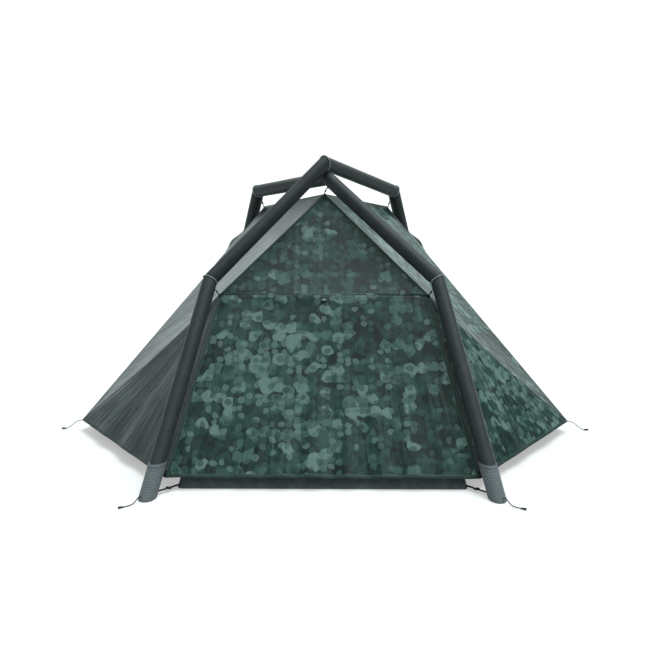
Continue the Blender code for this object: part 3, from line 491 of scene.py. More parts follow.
def makePrintedCloth(values):
    # Coated polyester ripstop, printed with round pebbles in close greens: satin, lightly
    # creased along its pull, with the ripstop's grid just showing
    material, add = startMaterial("printedGreenRipstop", {
        "Roughness": 0.40, "Specular IOR Level": 0.25})
    flatMap, runMap = add("UVMap", uv_map="flat"), add("UVMap", uv_map="run")
    wander = add("TexNoise", {
        "Vector": flatMap, "Scale": 1.1 / values["pebble"], "Detail": 1.0}, "Color")
    shift = add("VectorMath", (wander, (values["wobble"] * 2,) * 3, flatMap),
                operation="MULTIPLY_ADD")
    mottle = add("TexNoise", {"Vector": shift, "Scale": 1.6 / values["pebble"], "Detail": 1.0})
    colour = add("ValToRGB", (mottle,), stops=values["ground"], stepped=True)
    cloud = add("TexNoise", {"Vector": flatMap, "Scale": 3.0, "Detail": 1.5})
    lean = add("Math", (add("Math", (cloud, 0.5), operation="SUBTRACT"), 0.9), operation="MULTIPLY")
    # painted light and shade: the print is lightened round one spot as a painted highlight, and darkened
    # beyond one line as a painted shade
    apart = add("VectorMath", (flatMap, values["paintedLightSpot"]), "Value", operation="DISTANCE")
    paintedLight = add("MapRange", (apart, 0.0, values["paintedLightReach"], values["paintedLightShare"], 0.0),
                interpolation_type="SMOOTHSTEP")
    beyond = add("Math", (add("SeparateXYZ", (flatMap,)), values["paintedShadeLine"]), operation="LESS_THAN")
    paintedShade = add("Math", (beyond, values["paintedShadeShare"]), operation="MULTIPLY")
    lean = add("Math", (add("Math", (lean, paintedLight), operation="ADD"), paintedShade), operation="SUBTRACT")
    for size, reach, place, cover in ((values["pebble"], 0.60, 0.0, 0.92),
                                      (values["smallPebble"], 0.44, 3.7, 0.60)):
        moved = add("Mapping", (shift, (place, place, 0.0)))
        apart = add("TexVoronoi", {"Vector": moved, "Scale": 1 / size, "Randomness": 0.75},
                    voronoi_dimensions="2D")
        random = add("SeparateColor", (apart.node.outputs["Color"],))
        tone = add("ValToRGB", (add("Math", (random, lean), operation="ADD"),),
                   stops=values["tones"], stepped=True)
        inside = add("MapRange", (apart, reach, reach - 0.05))
        share = add("Math", (inside, cover), operation="MULTIPLY")
        colour = add("Mix", mixInputs(share, colour, tone), 2, data_type="RGBA")
    # painted highlight and shade: pale sheen lines and dark crease lines are mixed into the print along
    # the streaks
    streaks = streakNoise(add, runMap, 64.0, 1.3, 0.0)
    for limits, tint in (((0.58, 0.80, 0.0, 0.18), values["paintedSheenStreak"]),
                         ((0.40, 0.22, 0.0, 0.13), values["paintedCreaseShade"])):
        share = add("MapRange", (streaks, *limits))
        colour = add("Mix", mixInputs(share, colour, tint), 2, data_type="RGBA")
    height = flyRelief(add, flatMap, runMap, streaks, 0.0, (0.15, 0.6, 2.0))
    return finishMaterial(material, colour, height, 0.8, 0.0014)


def makePlainCloth():
    # Coated polyester ripstop, plain slate grey: satin, with fine lengthwise crease streaks whose sheen
    # and shade are painted into its colour
    material, add = startMaterial("plainSlateRipstop", {
        "Roughness": 0.36, "Specular IOR Level": 0.62})
    flatMap, runMap = add("UVMap", uv_map="flat"), add("UVMap", uv_map="run")
    streaks = streakNoise(add, runMap, 130.0, 4.0, 3.0)
    broad = add("TexNoise", {"Vector": flatMap, "Scale": 4.0, "Detail": 3.0})
    share = add("Math", (streaks, 0.45, add("Math", (broad, 0.55), operation="MULTIPLY")),
                operation="MULTIPLY_ADD")
    # painted sheen and shade: the crease streaks make the colour lighter and darker along their lines; the
    # broad noise varies it in soft patches
    colour = add("ValToRGB", (share,), stops=[(0.34, "#2b3131"), (0.5, "#404949"), (0.64, "#5c6667")])
    height = flyRelief(add, flatMap, runMap, streaks, 5.0, (0.25, 0.8, 0.8))
    return finishMaterial(material, colour, height, 0.8, 0.0014)


def makeSeamTape(name, ground, thread):
    # Felled seam of the fly's own cloth: a raised band with a row of stitches at each edge
    material, add = startMaterial(name, {"Roughness": 0.5, "Specular IOR Level": 0.35})
    flatMap = add("UVMap", uv_map="flat")
    # stitches 3 mm long, drawn 7 mm apart so that they show
    dash = add("TexWave", {"Vector": flatMap, "Scale": waveUnit / 0.007}, "Fac", bands_direction="Y")
    across = add("Math", (add("SeparateXYZ", (flatMap,)),), operation="ABSOLUTE")
    line = add("Math", (add("Math", (across, 0.0034), operation="SUBTRACT"),), operation="ABSOLUTE")
    onLine = add("Math", (line, 0.0007), operation="LESS_THAN")
    sewn = add("Math", (dash, 0.35), operation="GREATER_THAN")
    stitch = add("Math", (onLine, sewn), operation="MULTIPLY")
    grain = add("TexNoise", {"Vector": flatMap, "Scale": 300.0, "Detail": 3.0})
    share = add("Math", (grain, 0.3), operation="MULTIPLY")
    base = add("Mix", mixInputs(share, ground, thread), 2, data_type="RGBA")
    colour = add("Mix", mixInputs(stitch, base, thread), 2, data_type="RGBA")
    height = add("Math", (grain, 0.6, stitch), operation="MULTIPLY_ADD")
    return finishMaterial(material, colour, height, 0.5, 0.0005)


def makeFloorCloth():
    # Floor cloth with a heavy coating: mid grey, a little glossy, softly rumpled
    material, add = startMaterial("coatedFloorNylon", {"Roughness": 0.5, "Specular IOR Level": 0.4})
    flatMap = add("UVMap", uv_map="flat")
    rumple = add("TexNoise", {"Vector": flatMap, "Scale": 26.0, "Detail": 5.0, "Roughness": 0.55})
    colour = add("ValToRGB", (rumple,), stops=[(0.3, "#5e666a"), (0.7, "#788185")])
    height = add("Math", (ripstopHeight(add, flatMap), 0.1, rumple), operation="MULTIPLY_ADD")
    return finishMaterial(material, colour, height, 0.4, 0.002)


def makeInnerCloth():
    # Breathable polyester, undyed light grey: matt and thin, with a fine ripstop grid
    material, add = startMaterial("breathablePaleRipstop", {
        "Roughness": 0.85, "IOR": 1.45, "Sheen Weight": 0.15})
    flatMap = add("UVMap", uv_map="flat")
    cloud = add("TexNoise", {"Vector": flatMap, "Scale": 9.0, "Detail": 4.0})
    ground = add("ValToRGB", (cloud,), stops=[(0.3, "#aeb2af"), (0.7, "#c3c7c4")])
    share = add("Math", (ripstopHeight(add, flatMap), 0.3), operation="MULTIPLY")
    colour = add("Mix", mixInputs(share, ground, "#9a9e9b"), 2, data_type="RGBA")
    return finishMaterial(material, colour, cloud, 0.3, 0.001)


def makeCordBraid(name, ground, fleck):
    # Braided polyester cord: round strands that cross every 3 mm, with a fleck woven in
    material, add = startMaterial(name, {"Roughness": 0.6, "Sheen Weight": 0.2})
    flatMap = add("UVMap", uv_map="flat")
    strands = [add("TexWave", {
        "Vector": add("Mapping", {"Vector": flatMap, "Rotation": (0.0, 0.0, slant)}),
        "Scale": waveUnit / 0.003}, "Fac", bands_direction="X") for slant in (0.7, -0.7)]
    share = add("Math", (strands[0], 6.0), operation="POWER")
    colour = add("Mix", mixInputs(share, ground, fleck), 2, data_type="RGBA")
    braid = add("Math", strands, operation="MAXIMUM")
    return finishMaterial(material, colour, braid, 0.6, 0.0006)


def makeMouldedAcetal(name, ground, high):
    # Moulded acetal: satin from the tool's spark-eroded grain, with a painted highlight along its edges
    material, add = startMaterial(name, {"Roughness": 0.38, "IOR": 1.48})
    # the grain is 0.2 mm on the real piece and drawn at 0.8 mm
    grain = add("TexNoise", {
        "Vector": add("TexCoord", output="Object"), "Scale": 1250.0, "Detail": 2.0})
    # painted highlight: convex edges are mixed towards the second, lighter colour
    paintedEdgeHighlight = add("MapRange", (add("NewGeometry", output="Pointiness"), 0.52, 0.62, 0.0, 0.6))
    colour = add("Mix", mixInputs(paintedEdgeHighlight, ground, high), 2, data_type="RGBA")
    return finishMaterial(material, colour, grain, 0.25, 0.0002)


sleeveCloth = makeSleeveCloth()
bootCloth = makeBootCloth()
# Folded polyester tape round a cord: pale grey, slightly shiny, with a close twill, whose lines
# are 1 mm apart and drawn at 2 mm
pipingTape = makeOneTexture(
    "twillPipingTape", {"Roughness": 0.5, "Sheen Weight": 0.2}, "TexWave",
    {"Scale": waveUnit / 0.002, "Distortion": 0.4}, [(0.2, "#8b9091"), (0.9, "#a4a9aa")],
    (0.3, 0.0004), bands_direction="DIAGONAL")
printedCloth = makePrintedCloth(printValues)
plainCloth = makePlainCloth()
greenSeam = makeSeamTape("felledGreenSeam", "#1d3631", "#35544d")
greenFlap = makeSeamTape("foldedGreenFlap", "#1f3b35", "#4a675f")
greyFlap = makeSeamTape("foldedSlateFlap", "#3c4545", "#6d7676")
greySeam = makeSeamTape("felledSlateSeam", "#394141", "#5d6666")
darkSeam = makeSeamTape("trayTopBinding", "#33383b", "#5a6265")
# a real seam, coloured paler than the sleeve as a painted highlight line along it
sleeveSeamWithPaintedHighlight = makeSeamTape("felledSleeveSeamPaintedHighlight", "#43494c", "#7b8386")
floorCloth = makeFloorCloth()
innerCloth = makeInnerCloth()
blackCord = makeCordBraid("braidedBlackCord", "#141617", "#2c2f31")
paleCord = makeCordBraid("braidedGreyCord", "#9ea2a3", "#dadddd")
# Woven polypropylene webbing: black, ribbed across every 1.5 mm, a little shiny
blackWebbing = makeOneTexture(
    "wovenBlackWebbing", {"Roughness": 0.55, "IOR": 1.49}, "TexWave",
    {"Scale": waveUnit / 0.0015, "Distortion": 0.5}, [(0.2, "#16181a"), (0.9, "#26292b")],
    (0.5, 0.0004), bands_direction="Y")
blackAcetal = makeMouldedAcetal("mouldedBlackAcetal", "#121314", "#34373a")
greyAcetal = makeMouldedAcetal("mouldedGreyAcetal", "#5a5f60", "#85898a")
# Woven polyester zip tape: grey herringbone, matt
zipTape = makeOneTexture(
    "herringboneZipTape", {"Roughness": 0.7}, "TexWave",
    {"Scale": waveUnit / 0.0022, "Distortion": 0.6}, [(0.2, "#27302e"), (0.9, "#3a4441")],
    (0.4, 0.0004), bands_direction="DIAGONAL")
# Welded polyurethane film: grey, smooth and glossy, with faint heat-weld ripples
airFilm = makeOneTexture(
    "weldedAirFilm", {"Roughness": 0.25}, "TexNoise", {"Scale": 45.0, "Detail": 3.0},
    [(0.3, "#8f9496"), (0.7, "#a2a7a9")], (0.25, 0.001), solid=True)
print("materials made")


# Peg cords, on the part's own routes

pegCordValues = {
    "radius": 0.0021,
    "endLength": 0.023,
    "endRadius": 0.0045,
    "endTip": 0.0006,        # how far the moulded end reaches past the cord
    "straight": 0.006,
    "footStart": -0.008,     # along the beam's axis; below zero is towards the toe
    # the right side's route points, in the frame's metres
    "wingRoute": [(1.1589, -0.21488, 0.05), (1.176, -0.21288, 0.047), (1.196, -0.20988, 0.036),
                  (1.214, -0.20688, 0.020), (1.232, -0.20388, 0.008), (1.246, -0.20188, 0.0048),
                  (1.262, -0.19988, 0.0046)],
    "footRoute": [(0.703, -1.14288, 0.0215), (0.7105, -1.15588, 0.013), (0.7215, -1.17038, 0.005),
                  (0.736, -1.18538, 0.0036), (0.752, -1.19738, 0.0043), (0.768, -1.20588, 0.0046)],
    # shares of the moulded end's length, and of its radius: wedge shaped, with three grip ridges
    "endProfile": [(0.20, 0.72), (0.26, 0.66), (0.36, 0.84), (0.43, 0.78), (0.54, 0.95),
                   (0.62, 0.9), (0.76, 1), (0.90, 1), (0.97, 0.86)],
}


def skinSpot(start, end, distance, towards, radius):
    # a point just off a beam's skin that faces another point, and the way out
    line = unit(end - start)
    centre = start + distance * line
    away = towards - centre
    away = unit(away - away.dot(line) * line)
    return centre + (radius + clearance) * away, away


def addPegCord(name, node, route, material, values):
    # a braided cord and the moulded end that is threaded on its last stretch
    path = smoothRoute(route, 3 * values["radius"])
    curve = bpy.data.curves.new(name, "CURVE")
    curve.dimensions = "3D"
    curve.bevel_depth = values["radius"]
    curve.bevel_resolution = 3
    curve.use_fill_caps = True
    spline = curve.splines.new("POLY")
    spline.points.add(len(path) - 1)
    spline.points.foreach_set("co", np.hstack([path, np.ones((len(path), 1))]).ravel())
    curve.materials.append(material)
    cord = addObject(name, curve)
    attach(cord, "tent")
    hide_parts(node)

    run = unit(path[-1] - path[-4])
    length, bore = values["endLength"], values["radius"] + 0.0004
    profile = [(0, 0), (bore, 0), (bore * 1.2, 0.06 * length)]
    profile += [(values["endRadius"] * wide, far * length) for far, wide in values["endProfile"]]
    foot = path[-1] + (values["endTip"] - length) * run
    end = addPiece(f"{name}End", lathePart(profile + [(0, length)], foot, run, 20), [blackAcetal],
                   "tent", sharpAngle=50)


def addPegCords(side, values):
    # from the wing's tip, and from the front boot's skin
    wingRoute, footRoute = ([np.array(spot) for spot in values[key]] for key in ("wingRoute", "footRoute"))
    start, away = skinSpot(frontFoot, frontElbow, values["footStart"], footRoute[0], bootRadius)
    footRoute = [start + share * values["straight"] * away for share in (0, 0.5, 1)] + footRoute
    addPegCord(f"{side}WingPegCord", f"{side}_wing_peg_cord",
               [onSide(side, spot) for spot in wingRoute], paleCord, values)
    addPegCord(f"{side}FootPegCord", f"front_{side}_peg_cord",
               [onSide(side, spot) for spot in footRoute], blackCord, values)


for side in ("left", "right"):
    addPegCords(side, pegCordValues)
print("peg cords laid")


# Air beams

upperBeam = [onSide("left", frontFoot), onSide("left", frontElbow), upperApex, rearElbow, rearFoot]
lowerBeam = [frontFoot, frontElbow, lowerApex, onSide("left", rearElbow), onSide("left", rearFoot)]

sleeveValues = {
    "sides": 72,
    "step": 0.009,
    "crowding": 0.45,        # how much closer the rings lie beside the ends, where the gathers are
    "wall": 0.0012,
    "footHeight": 0.0033,
    "pinch": 0.0016,         # how far the skin draws in at a sewn corner
    "pinchReach": 0.011,
    "gather": 0.0011,        # height of the gathers beside a sewn corner
    "gatherReach": 0.040,
    "gatherCount": 15,
    "slack": 0.0005,
    # the closing seam's welt: places across it, and heights over the skin
    "welt": [(-0.0045, -0.0002), (-0.0036, 0.0009), (0.0, 0.0012), (0.0036, 0.0009),
             (0.0045, -0.0002)],
}


def beamDirection(beam, index):
    return unit(beam[index + 1] - beam[index])


def beamPlanes(beam, footHeight):
    planes = [(beam[0] + footHeight * up, up)]
    for index in range(1, len(beam) - 1):
        planes.append((beam[index], unit(beamDirection(beam, index - 1) + beamDirection(beam, index))))
    planes.append((beam[-1] + footHeight * up, -up))
    return planes


def slidOnto(ring, direction, point, normal):
    return ring + ((point - ring) @ normal / direction.dot(normal))[:, None] * direction


def beamRings(beam, radius, footHeight, sides):
    # rings in the corner planes, each carried along the run before it
    planes = beamPlanes(beam, footHeight)
    line = beamDirection(beam, 0)
    rings = [slidOnto(beam[0] + radius * ringAbout(line, sides), line, *planes[0])]
    for index in range(1, len(beam)):
        rings.append(slidOnto(rings[-1], beamDirection(beam, index - 1), *planes[index]))
    return rings


def sleevePoints(beam, index, radius, startRoom, endRoom, values, seed):
    # a sleeve's points, their flat map and their ways out; it is gathered where it is sewn
    planes = beamPlanes(beam, values["footHeight"])
    line = beamDirection(beam, index)
    ring = beamRings(beam, radius, values["footHeight"], values["sides"])[index]
    (startSpot, startWay), (endSpot, endWay) = planes[index:index + 2]
    near = slidOnto(ring, line, startSpot + startRoom * startWay, startWay)
    far = slidOnto(ring, line, endSpot - endRoom * endWay, endWay)
    length = float(np.linalg.norm(far - near, axis=1).mean())
    shares = np.linspace(0, 1, int(length / values["step"]) + 1)
    shares = shares - values["crowding"] * np.sin(2 * np.pi * shares) / (2 * np.pi)
    points = (1 - shares)[:, None, None] * near + shares[:, None, None] * far
    out = unitRows(points - beam[index] - ((points - beam[index]) @ line)[:, :, None] * line)
    around = np.linspace(0, 1, values["sides"] + 1)[None, :] * np.ones((len(shares), 1))
    fromNear = np.linalg.norm(points - near, axis=2)
    fromFar = np.linalg.norm(points - far, axis=2)
    flat = mapOf(around * 2 * np.pi * radius, fromNear)
    lift = np.zeros_like(fromNear)
    for distance, sewn, turn in ((fromNear, index > 0, 0.0), (fromFar, index < 3, 1.7)):
        if sewn:
            lift -= values["pinch"] * np.exp(-(distance / values["pinchReach"]) ** 1.5)
            ripple = np.cos(2 * np.pi * (values["gatherCount"] * around)
                            + 2.0 * softNoise(around * 6, distance * 12, seed) + turn)
            strength = 0.5 + 0.5 * softNoise(np.mod(around, 1) * 5, 0 * around, seed + 3)
            reach = distance / values["gatherReach"]
            lift += values["gather"] * ripple * strength * reach * np.exp(1 - 2 * reach)
    lift += values["slack"] * hump(around) * softNoise(around * 7, fromNear * 5, seed + 5)
    points = points + lift[:, :, None] * out
    points[:, -1] = points[:, 0]
    return points, flat, out


def addSleeve(name, node, beam, index, startRoom, endRoom, seed, seamFace, values):
    outer, flat, out = sleevePoints(beam, index, beamRadius, startRoom, endRoom, values, seed)
    inner = outer - values["wall"] * out
    parts = [gridPart(outer, flat), gridPart(inner, flat)]
    parts += [gridPart(np.stack([outer[end], inner[end]])) for end in (0, -1)]
    # the sleeve's closing seam, a low welt with stitches, on the side it is sewn; its pale colour is
    # partly a painted highlight, a light line along the sleeve
    facing = (out[0, :-1] @ unit(seamFace)).argmax()
    across, heights = np.array(values["welt"]).T
    side = unit(np.cross(beamDirection(beam, index), out[0, facing]))
    welt = (outer[:, None, facing] + across[:, None] * side
            + heights[:, None] * out[:, None, facing])
    lengths = np.linalg.norm(welt[:, 2] - welt[0, 2], axis=1)
    parts.append(gridPart(welt, mapOf(across[None, :], lengths[:, None]), slot=1))
    addPiece(name, parts, [sleeveCloth, sleeveSeamWithPaintedHighlight], "tent", [node])


sewnRoom, crossRoom = 0.0020, clearance / 2      # between sleeves: at a seam, and where beams cross
outLeft, outRight = (-0.85, -0.55, 0.1), (0.85, -0.55, 0.1)
for sleeve in (
    ("frontLeftLegSleeve", "front_left_leg_sleeve", upperBeam, 0, 0, sewnRoom, 11, outLeft),
    ("frontLeftRoofSleeve", "front_left_roof_sleeve", upperBeam, 1, sewnRoom, sewnRoom, 12,
     (-0.3, 0.9, -0.4)),
    ("rearRightRoofSleeve", "rear_right_roof_sleeve", upperBeam, 2, sewnRoom, sewnRoom, 13,
     (0.4, 0.3, -1)),
    ("rearRightLegSleeve", "rear_right_leg_sleeve", upperBeam, 3, sewnRoom, 0, 14, outRight),
    ("frontRightLegSleeve", "front_right_leg_sleeve", lowerBeam, 0, 0, sewnRoom, 15, outRight),
    ("frontRightRoofSleeve", "front_right_roof_sleeve", lowerBeam, 1, sewnRoom, crossRoom, 16,
     (0.3, 0.9, -0.4)),
    ("rearLeftRoofSleeve", "rear_left_roof_sleeve", lowerBeam, 2, crossRoom, sewnRoom, 17,
     (-0.4, 0.3, -1)),
    ("rearLeftLegSleeve", "rear_left_leg_sleeve", lowerBeam, 3, sewnRoom, 0, 18, outLeft),
):
    addSleeve(*sleeve, sleeveValues)
print("sleeves made")


pipingValues = {"radius": 0.0025, "ringRadius": 0.0328, "sides": 96}


def addPiping(name, node, beam, index, values, clearOf=None):
    # a corded piping in the mitre seam; it stops where another beam lies
    ring = beamRings(beam, values["ringRadius"], 0, values["sides"])[index][:-1]
    if clearOf is not None:
        start, end = clearOf
        line = unit(end - start)
        shifts = ring - start
        apart = np.linalg.norm(shifts - (shifts @ line)[:, None] * line, axis=1)
        free = apart > beamRadius + values["radius"] + clearance
        first = next(i for i in range(len(ring)) if free[i] and not free[i - 1])
        ring = np.roll(ring, -first, axis=0)[:int(free.sum())]
    parts = tubePart(ring, values["radius"], 10, closed=clearOf is None)
    addPiece(name, parts, [pipingTape], "tent", [node])


addPiping("frontLeftElbowPiping", "front_left_elbow_piping", upperBeam, 1, pipingValues)
addPiping("rearRightElbowPiping", "rear_right_elbow_piping", upperBeam, 3, pipingValues)
addPiping("frontRightElbowPiping", "front_right_elbow_piping", lowerBeam, 1, pipingValues)
addPiping("rearLeftElbowPiping", "rear_left_elbow_piping", lowerBeam, 3, pipingValues)
addPiping("apexPiping", "apex_piping", upperBeam, 2, pipingValues, (lowerApex, frontElbow))


bootValues = {
    "height": 0.118,
    "sole": 0.003,
    "round": 0.006,
    "hem": 0.010,
    "hemRise": 0.0005,
    "sides": 72,
    "rumple": 0.0006,
    "swell": 1.3,            # how much longer the wall's flat map is than its height
}


def addBoot(name, node, foot, elbow, seed, values):
    line = unit(elbow - foot)
    ring = ringAbout(line, values["sides"])
    rounding, height, rise = values["round"], values["height"], values["hemRise"]
    hemFoot, bore = height - values["hem"], beamRadius + clearance
    steps = [(bootRadius - rounding + rounding * math.sin(math.radians(turn)),
              rounding - rounding * math.cos(math.radians(turn))) for turn in (0, 25, 50, 75, 90)]
    steps += [(bootRadius, z) for z in np.linspace(0.014, hemFoot, 12)]
    wallEnd = len(steps)
    steps += [(bootRadius + rise * 0.8, hemFoot + 0.001), (bootRadius + rise, hemFoot + 0.003),
              (bootRadius + rise, height - 0.002), (bootRadius + rise * 0.6, height - 0.0004),
              (bootRadius, height), (bore, height - 0.0002), (bore, values["sole"])]
    points = np.array([slidOnto(foot + radius * ring, line, foot + z * up, up) for radius, z in steps])
    around = np.linspace(0, 1, values["sides"] + 1)
    for row in range(5, wallEnd):
        swell = softNoise(around * 8, np.full_like(around, row * 0.35), seed) * hump(around)
        out = unitRows(points[row] - points[row].mean(axis=0))
        points[row] += (values["rumple"] * swell)[:, None] * out
    heights = np.array([z for _, z in steps])[:, None]
    aroundLength = around[None, :] * 2 * np.pi * bootRadius
    hemMap = mapOf(heights[wallEnd - 1:] - (height - values["hem"] / 2), aroundLength)
    parts = [gridPart(points[:wallEnd], mapOf(aroundLength, heights[:wallEnd] * values["swell"])),
             gridPart(points[wallEnd - 1:], hemMap),
             fanPart(points[0, :-1]), fanPart(points[-1, :-1])]
    addPiece(name, parts, [bootCloth], "tent", [node], 60)


for side in ("left", "right"):
    addBoot(f"front{side.title()}Boot", f"front_{side}_boot",
            onSide(side, frontFoot), onSide(side, frontElbow), 21, bootValues)
    addBoot(f"rear{side.title()}Boot", f"rear_{side}_boot",
            onSide(side, rearFoot), onSide(side, rearElbow), 22, bootValues)
print("boots and pipings made")


# Cloth panels

clothValues = {
    "fly": 0.0007,           # thickness of the shown cloth
    "cadFabric": 0.0012,
    "inner": 0.0006,
    "grid": 0.008,
    "seamWidth": 0.011,
    "hemWidth": 0.016,
    "hemStart": 0.0008,      # how far inside the edge a hem's band starts
    "hemRoll": 0.0011,       # radius of the rolled edge of a hem
    "flapWidth": 0.008,      # the folded flap beside a door zip
    "flapStart": 0.0010,
    "flapRoll": 0.0012,
    "bandLift": 0.0008,
    "bead": 0.0015,
    "pucker": 0.0006,
    "puckerLength": 0.020,
    "zipHalfWidth": 0.004,
}


def outwardOf(a, b, c, d):
    normal = unit(np.cross(b - a, d - c))
    return normal if normal.dot(a - heart) > 0 else -normal


def seamRoomOf(start, end, own, other):
    # how far a panel's edge lies inside a seam for two cloths to clear each other
    along = unit(end - start)
    sides = [unit((spot - start) - (spot - start).dot(along) * along) for spot in (own, other)]
    halfAngle = math.acos(max(-1.0, min(1.0, sides[0].dot(sides[1])))) / 2
    halfCloth = clothValues["cadFabric"] / 2
    return (clearance / 2 + halfCloth * math.cos(halfAngle)) / math.sin(halfAngle)


def cornerWays(corners, index):
    # the ways from a corner to the one after it and to the one before it
    corner = corners[index]
    return unit(corners[(index + 1) % len(corners)] - corner), unit(corners[index - 1] - corner)


def insetCorners(corners, rooms):
    moved = []
    for index, corner in enumerate(corners):
        ahead, behind = cornerWays(corners, index)
        spread = math.sin(math.acos(ahead.dot(behind)))
        moved.append(corner + ahead * (rooms[index - 1] / spread) + behind * (rooms[index] / spread))
    return moved


def makePanel(corners, rooms, shape, detail=None, tension=1.0):
    # three corners make a fan from the first one, four make a sheet from side to side; tension
    # below 1 draws a cloth's creases out longer and fainter
    spots = insetCorners(corners, rooms)
    fan = len(spots) == 3
    quad = [spots[0], spots[0], spots[2], spots[1]] if fan else spots
    normal = outwardOf(spots[0], spots[1], spots[0], spots[2]) if fan else outwardOf(
        spots[0], spots[2], spots[1], spots[3])
    across = quad[2] - quad[3]
    across = unit(across - across.dot(normal) * normal)
    down = np.cross(normal, across)
    if down.dot(quad[3] - quad[0]) < 0:
        down = -down
    return {"quad": quad, "normal": normal, "across": across, "down": down, "shape": shape,
            "detail": detail, "fan": fan, "corners": spots, "tension": tension}


def panelPoints(panel, s, t, raised=0.0):
    # points of the cloth at shares across and down, and their places in metres
    s, t = np.broadcast_arrays(np.asarray(s, float), np.asarray(t, float))
    a, b, c, d = panel["quad"]
    right, low = s[..., None], t[..., None]
    plane = (1 - low) * ((1 - right) * a + right * b) + low * ((1 - right) * d + right * c)
    x, y = (plane - a) @ panel["across"], (plane - a) @ panel["down"]
    lift, droop = panel["shape"](s, t)
    if panel["detail"] is not None:
        lift = lift + panel["detail"](s, t, x, y)
    points = plane + np.asarray(lift + raised)[..., None] * panel["normal"]
    return points - np.asarray(droop + 0 * s)[..., None] * up, x, y


def panelSides(panel):
    # the lengths of a panel's top, bottom, left and right edges
    a, b, c, d = panel["quad"]
    return [np.linalg.norm(edge) for edge in (b - a, c - d, d - a, c - b)]


def panelSize(panel):
    top, low, left, right = panelSides(panel)
    return max(top, low), max(left, right)


def panelGrid(panel, spacing):
    s, t = (np.linspace(0, 1, max(3, round(size / spacing)) + 1) for size in panelSize(panel))
    return np.meshgrid(s, t)


def panelRun(panel, s, x, y):
    # across and along the pull of the cloth, in metres; a taut fan has its creases spread wide
    if panel["fan"] and panel["tension"] < 1:
        return mapOf(x, y) * panel["tension"]
    across = s * panelSize(panel)[0]
    if panel["fan"]:
        corner = panel["corners"][0] - panel["quad"][0]
        return mapOf(across, np.hypot(x - corner @ panel["across"], y - corner @ panel["down"]))
    return mapOf(across, y * panel["tension"])


def surfaceArea(points):
    return float(np.sum(np.linalg.norm(np.cross(
        points[1:, 1:] - points[:-1, :-1], points[1:, :-1] - points[:-1, 1:]), axis=2)) / 2)


def edgePlaces(panel, edge, inset, spacing, reach):
    # shares across and down of rows of places, each row so far inside one edge of a panel; a
    # side edge is s0 or s1, the top t0 and the bottom t1
    top, low, left, right = panelSides(panel)
    sideways = edge in ("s0", "s1")
    long = max(left, right) if sideways else max(top, low)
    along = np.linspace(*reach, max(3, round(long / spacing)) + 1)
    near, far = (top, low) if sideways else (left, right)
    share = np.asarray(inset)[..., None] / np.maximum((1 - along) * near + along * far, 0.004)
    share = np.minimum(share, 0.5)
    share = 1 - share if edge in ("s1", "t1") else share
    along = np.broadcast_to(along, share.shape)
    return (share, along) if sideways else (along, share)


def bandParts(panel, edge, width, start=0.0, slot=0, reach=(0.0, 1.0), lift=clothValues["bandLift"]):
    # a sewn band on the outside of a panel, along one of its edges, with its rims just inside
    # the cloth
    across = np.array((0.0, 0.0004, 0.0012, width / 2, width - 0.0012, width - 0.0004, width))
    raised = clothValues["fly"] / 2 + np.array((-0.0003, *(lift * np.array((0.6, 1, 1, 1, 0.6))), -0.0003))
    s, t = edgePlaces(panel, edge, start + across, 0.007, reach)
    points, _, _ = panelPoints(panel, s, t, raised[:, None])
    lengths = pathLengths(points[3])
    return [gridPart(points, mapOf((across - width / 2)[:, None], lengths[None, :]), slot=slot)]


def edgeBead(panel, edge, radius, slot=0, reach=(0.0, 1.0)):
    # a rolled edge or piping along an edge
    points, _, _ = panelPoints(panel, *edgePlaces(panel, edge, 0.0, 0.006, reach))
    return tubePart(points, radius, 8, slot=slot)


def hemParts(panel):
    # a bottom edge, turned under and sewn
    return (bandParts(panel, "t1", clothValues["hemWidth"], clothValues["hemStart"])
            + edgeBead(panel, "t1", clothValues["hemRoll"]))


def flapParts(panel, edge, bandReach, rollReach=(0.0, 1.0)):
    # the folded flap along a zip
    return (bandParts(panel, edge, clothValues["flapWidth"], clothValues["flapStart"], 1, bandReach)
            + edgeBead(panel, edge, clothValues["flapRoll"], 1, rollReach))


def addPanel(name, node, panel, materials, body, trims, spacing=None, roll=0.0):
    # the cloth itself and its seams and hems; roll is how far
    # along the printed roll the panel is cut
    s, t = panelGrid(panel, spacing or clothValues["grid"])
    points, x, y = panelPoints(panel, s, t)
    parts = clothParts(points, mapOf(x + roll, y), panelRun(panel, s, x, y), clothValues["fly"],
                       panel["normal"])
    cloth = addPiece(name, parts, materials[:1], body, [node])
    trim = addPiece(f"{name}Trim", trims, materials[1:], body)


def edgeFade(distance, reach=0.03):
    return 1 - np.exp(-(distance / reach) ** 2)


def fanFolds(x, y, anchor, count, reach, height, seed, breadth=0.3, near=0.05):
    # sharp folds that run out of an anchored corner and die away
    across, along = x - anchor[0], y - anchor[1]
    radius = np.hypot(across, along)
    turn = np.arctan2(across, along)
    lines = creaseLines(turn * count / np.pi + 20, radius * 2.2, seed, breadth)
    return height * lines * radius / (radius + near) * np.exp(-(radius / reach) ** 2)


def seamPucker(distance, along, seed):
    # small gathers where the thread has drawn a seam in
    wave = softNoise(along / clothValues["puckerLength"], distance * 12, seed)
    share = distance / 0.016
    return clothValues["pucker"] * wave * share * np.exp(1 - share)


# Fly panels: a shape gives the cloth's lift and droop in metres at shares across and down, and
# a detail the creases, folds and puckers on it

foldValues = {
    "doorFolds": 9, "doorFold": 0.006, "doorSag": 0.012,
    "wingFolds": 3, "wingFold": 0.005, "creaseSag": 0.014, "sideSag": 0.012,
    "roofSag": 0.006, "ventRise": 0.010,
}


def hangingFolds(s, t, height, count):
    # folds that open towards the hem
    return height * t ** 2 * hump(s) * np.sin(2 * np.pi * count * s)


def wallShape(s, t):
    return -foldValues["doorSag"] * hump(s) * hump(t), 0 * s


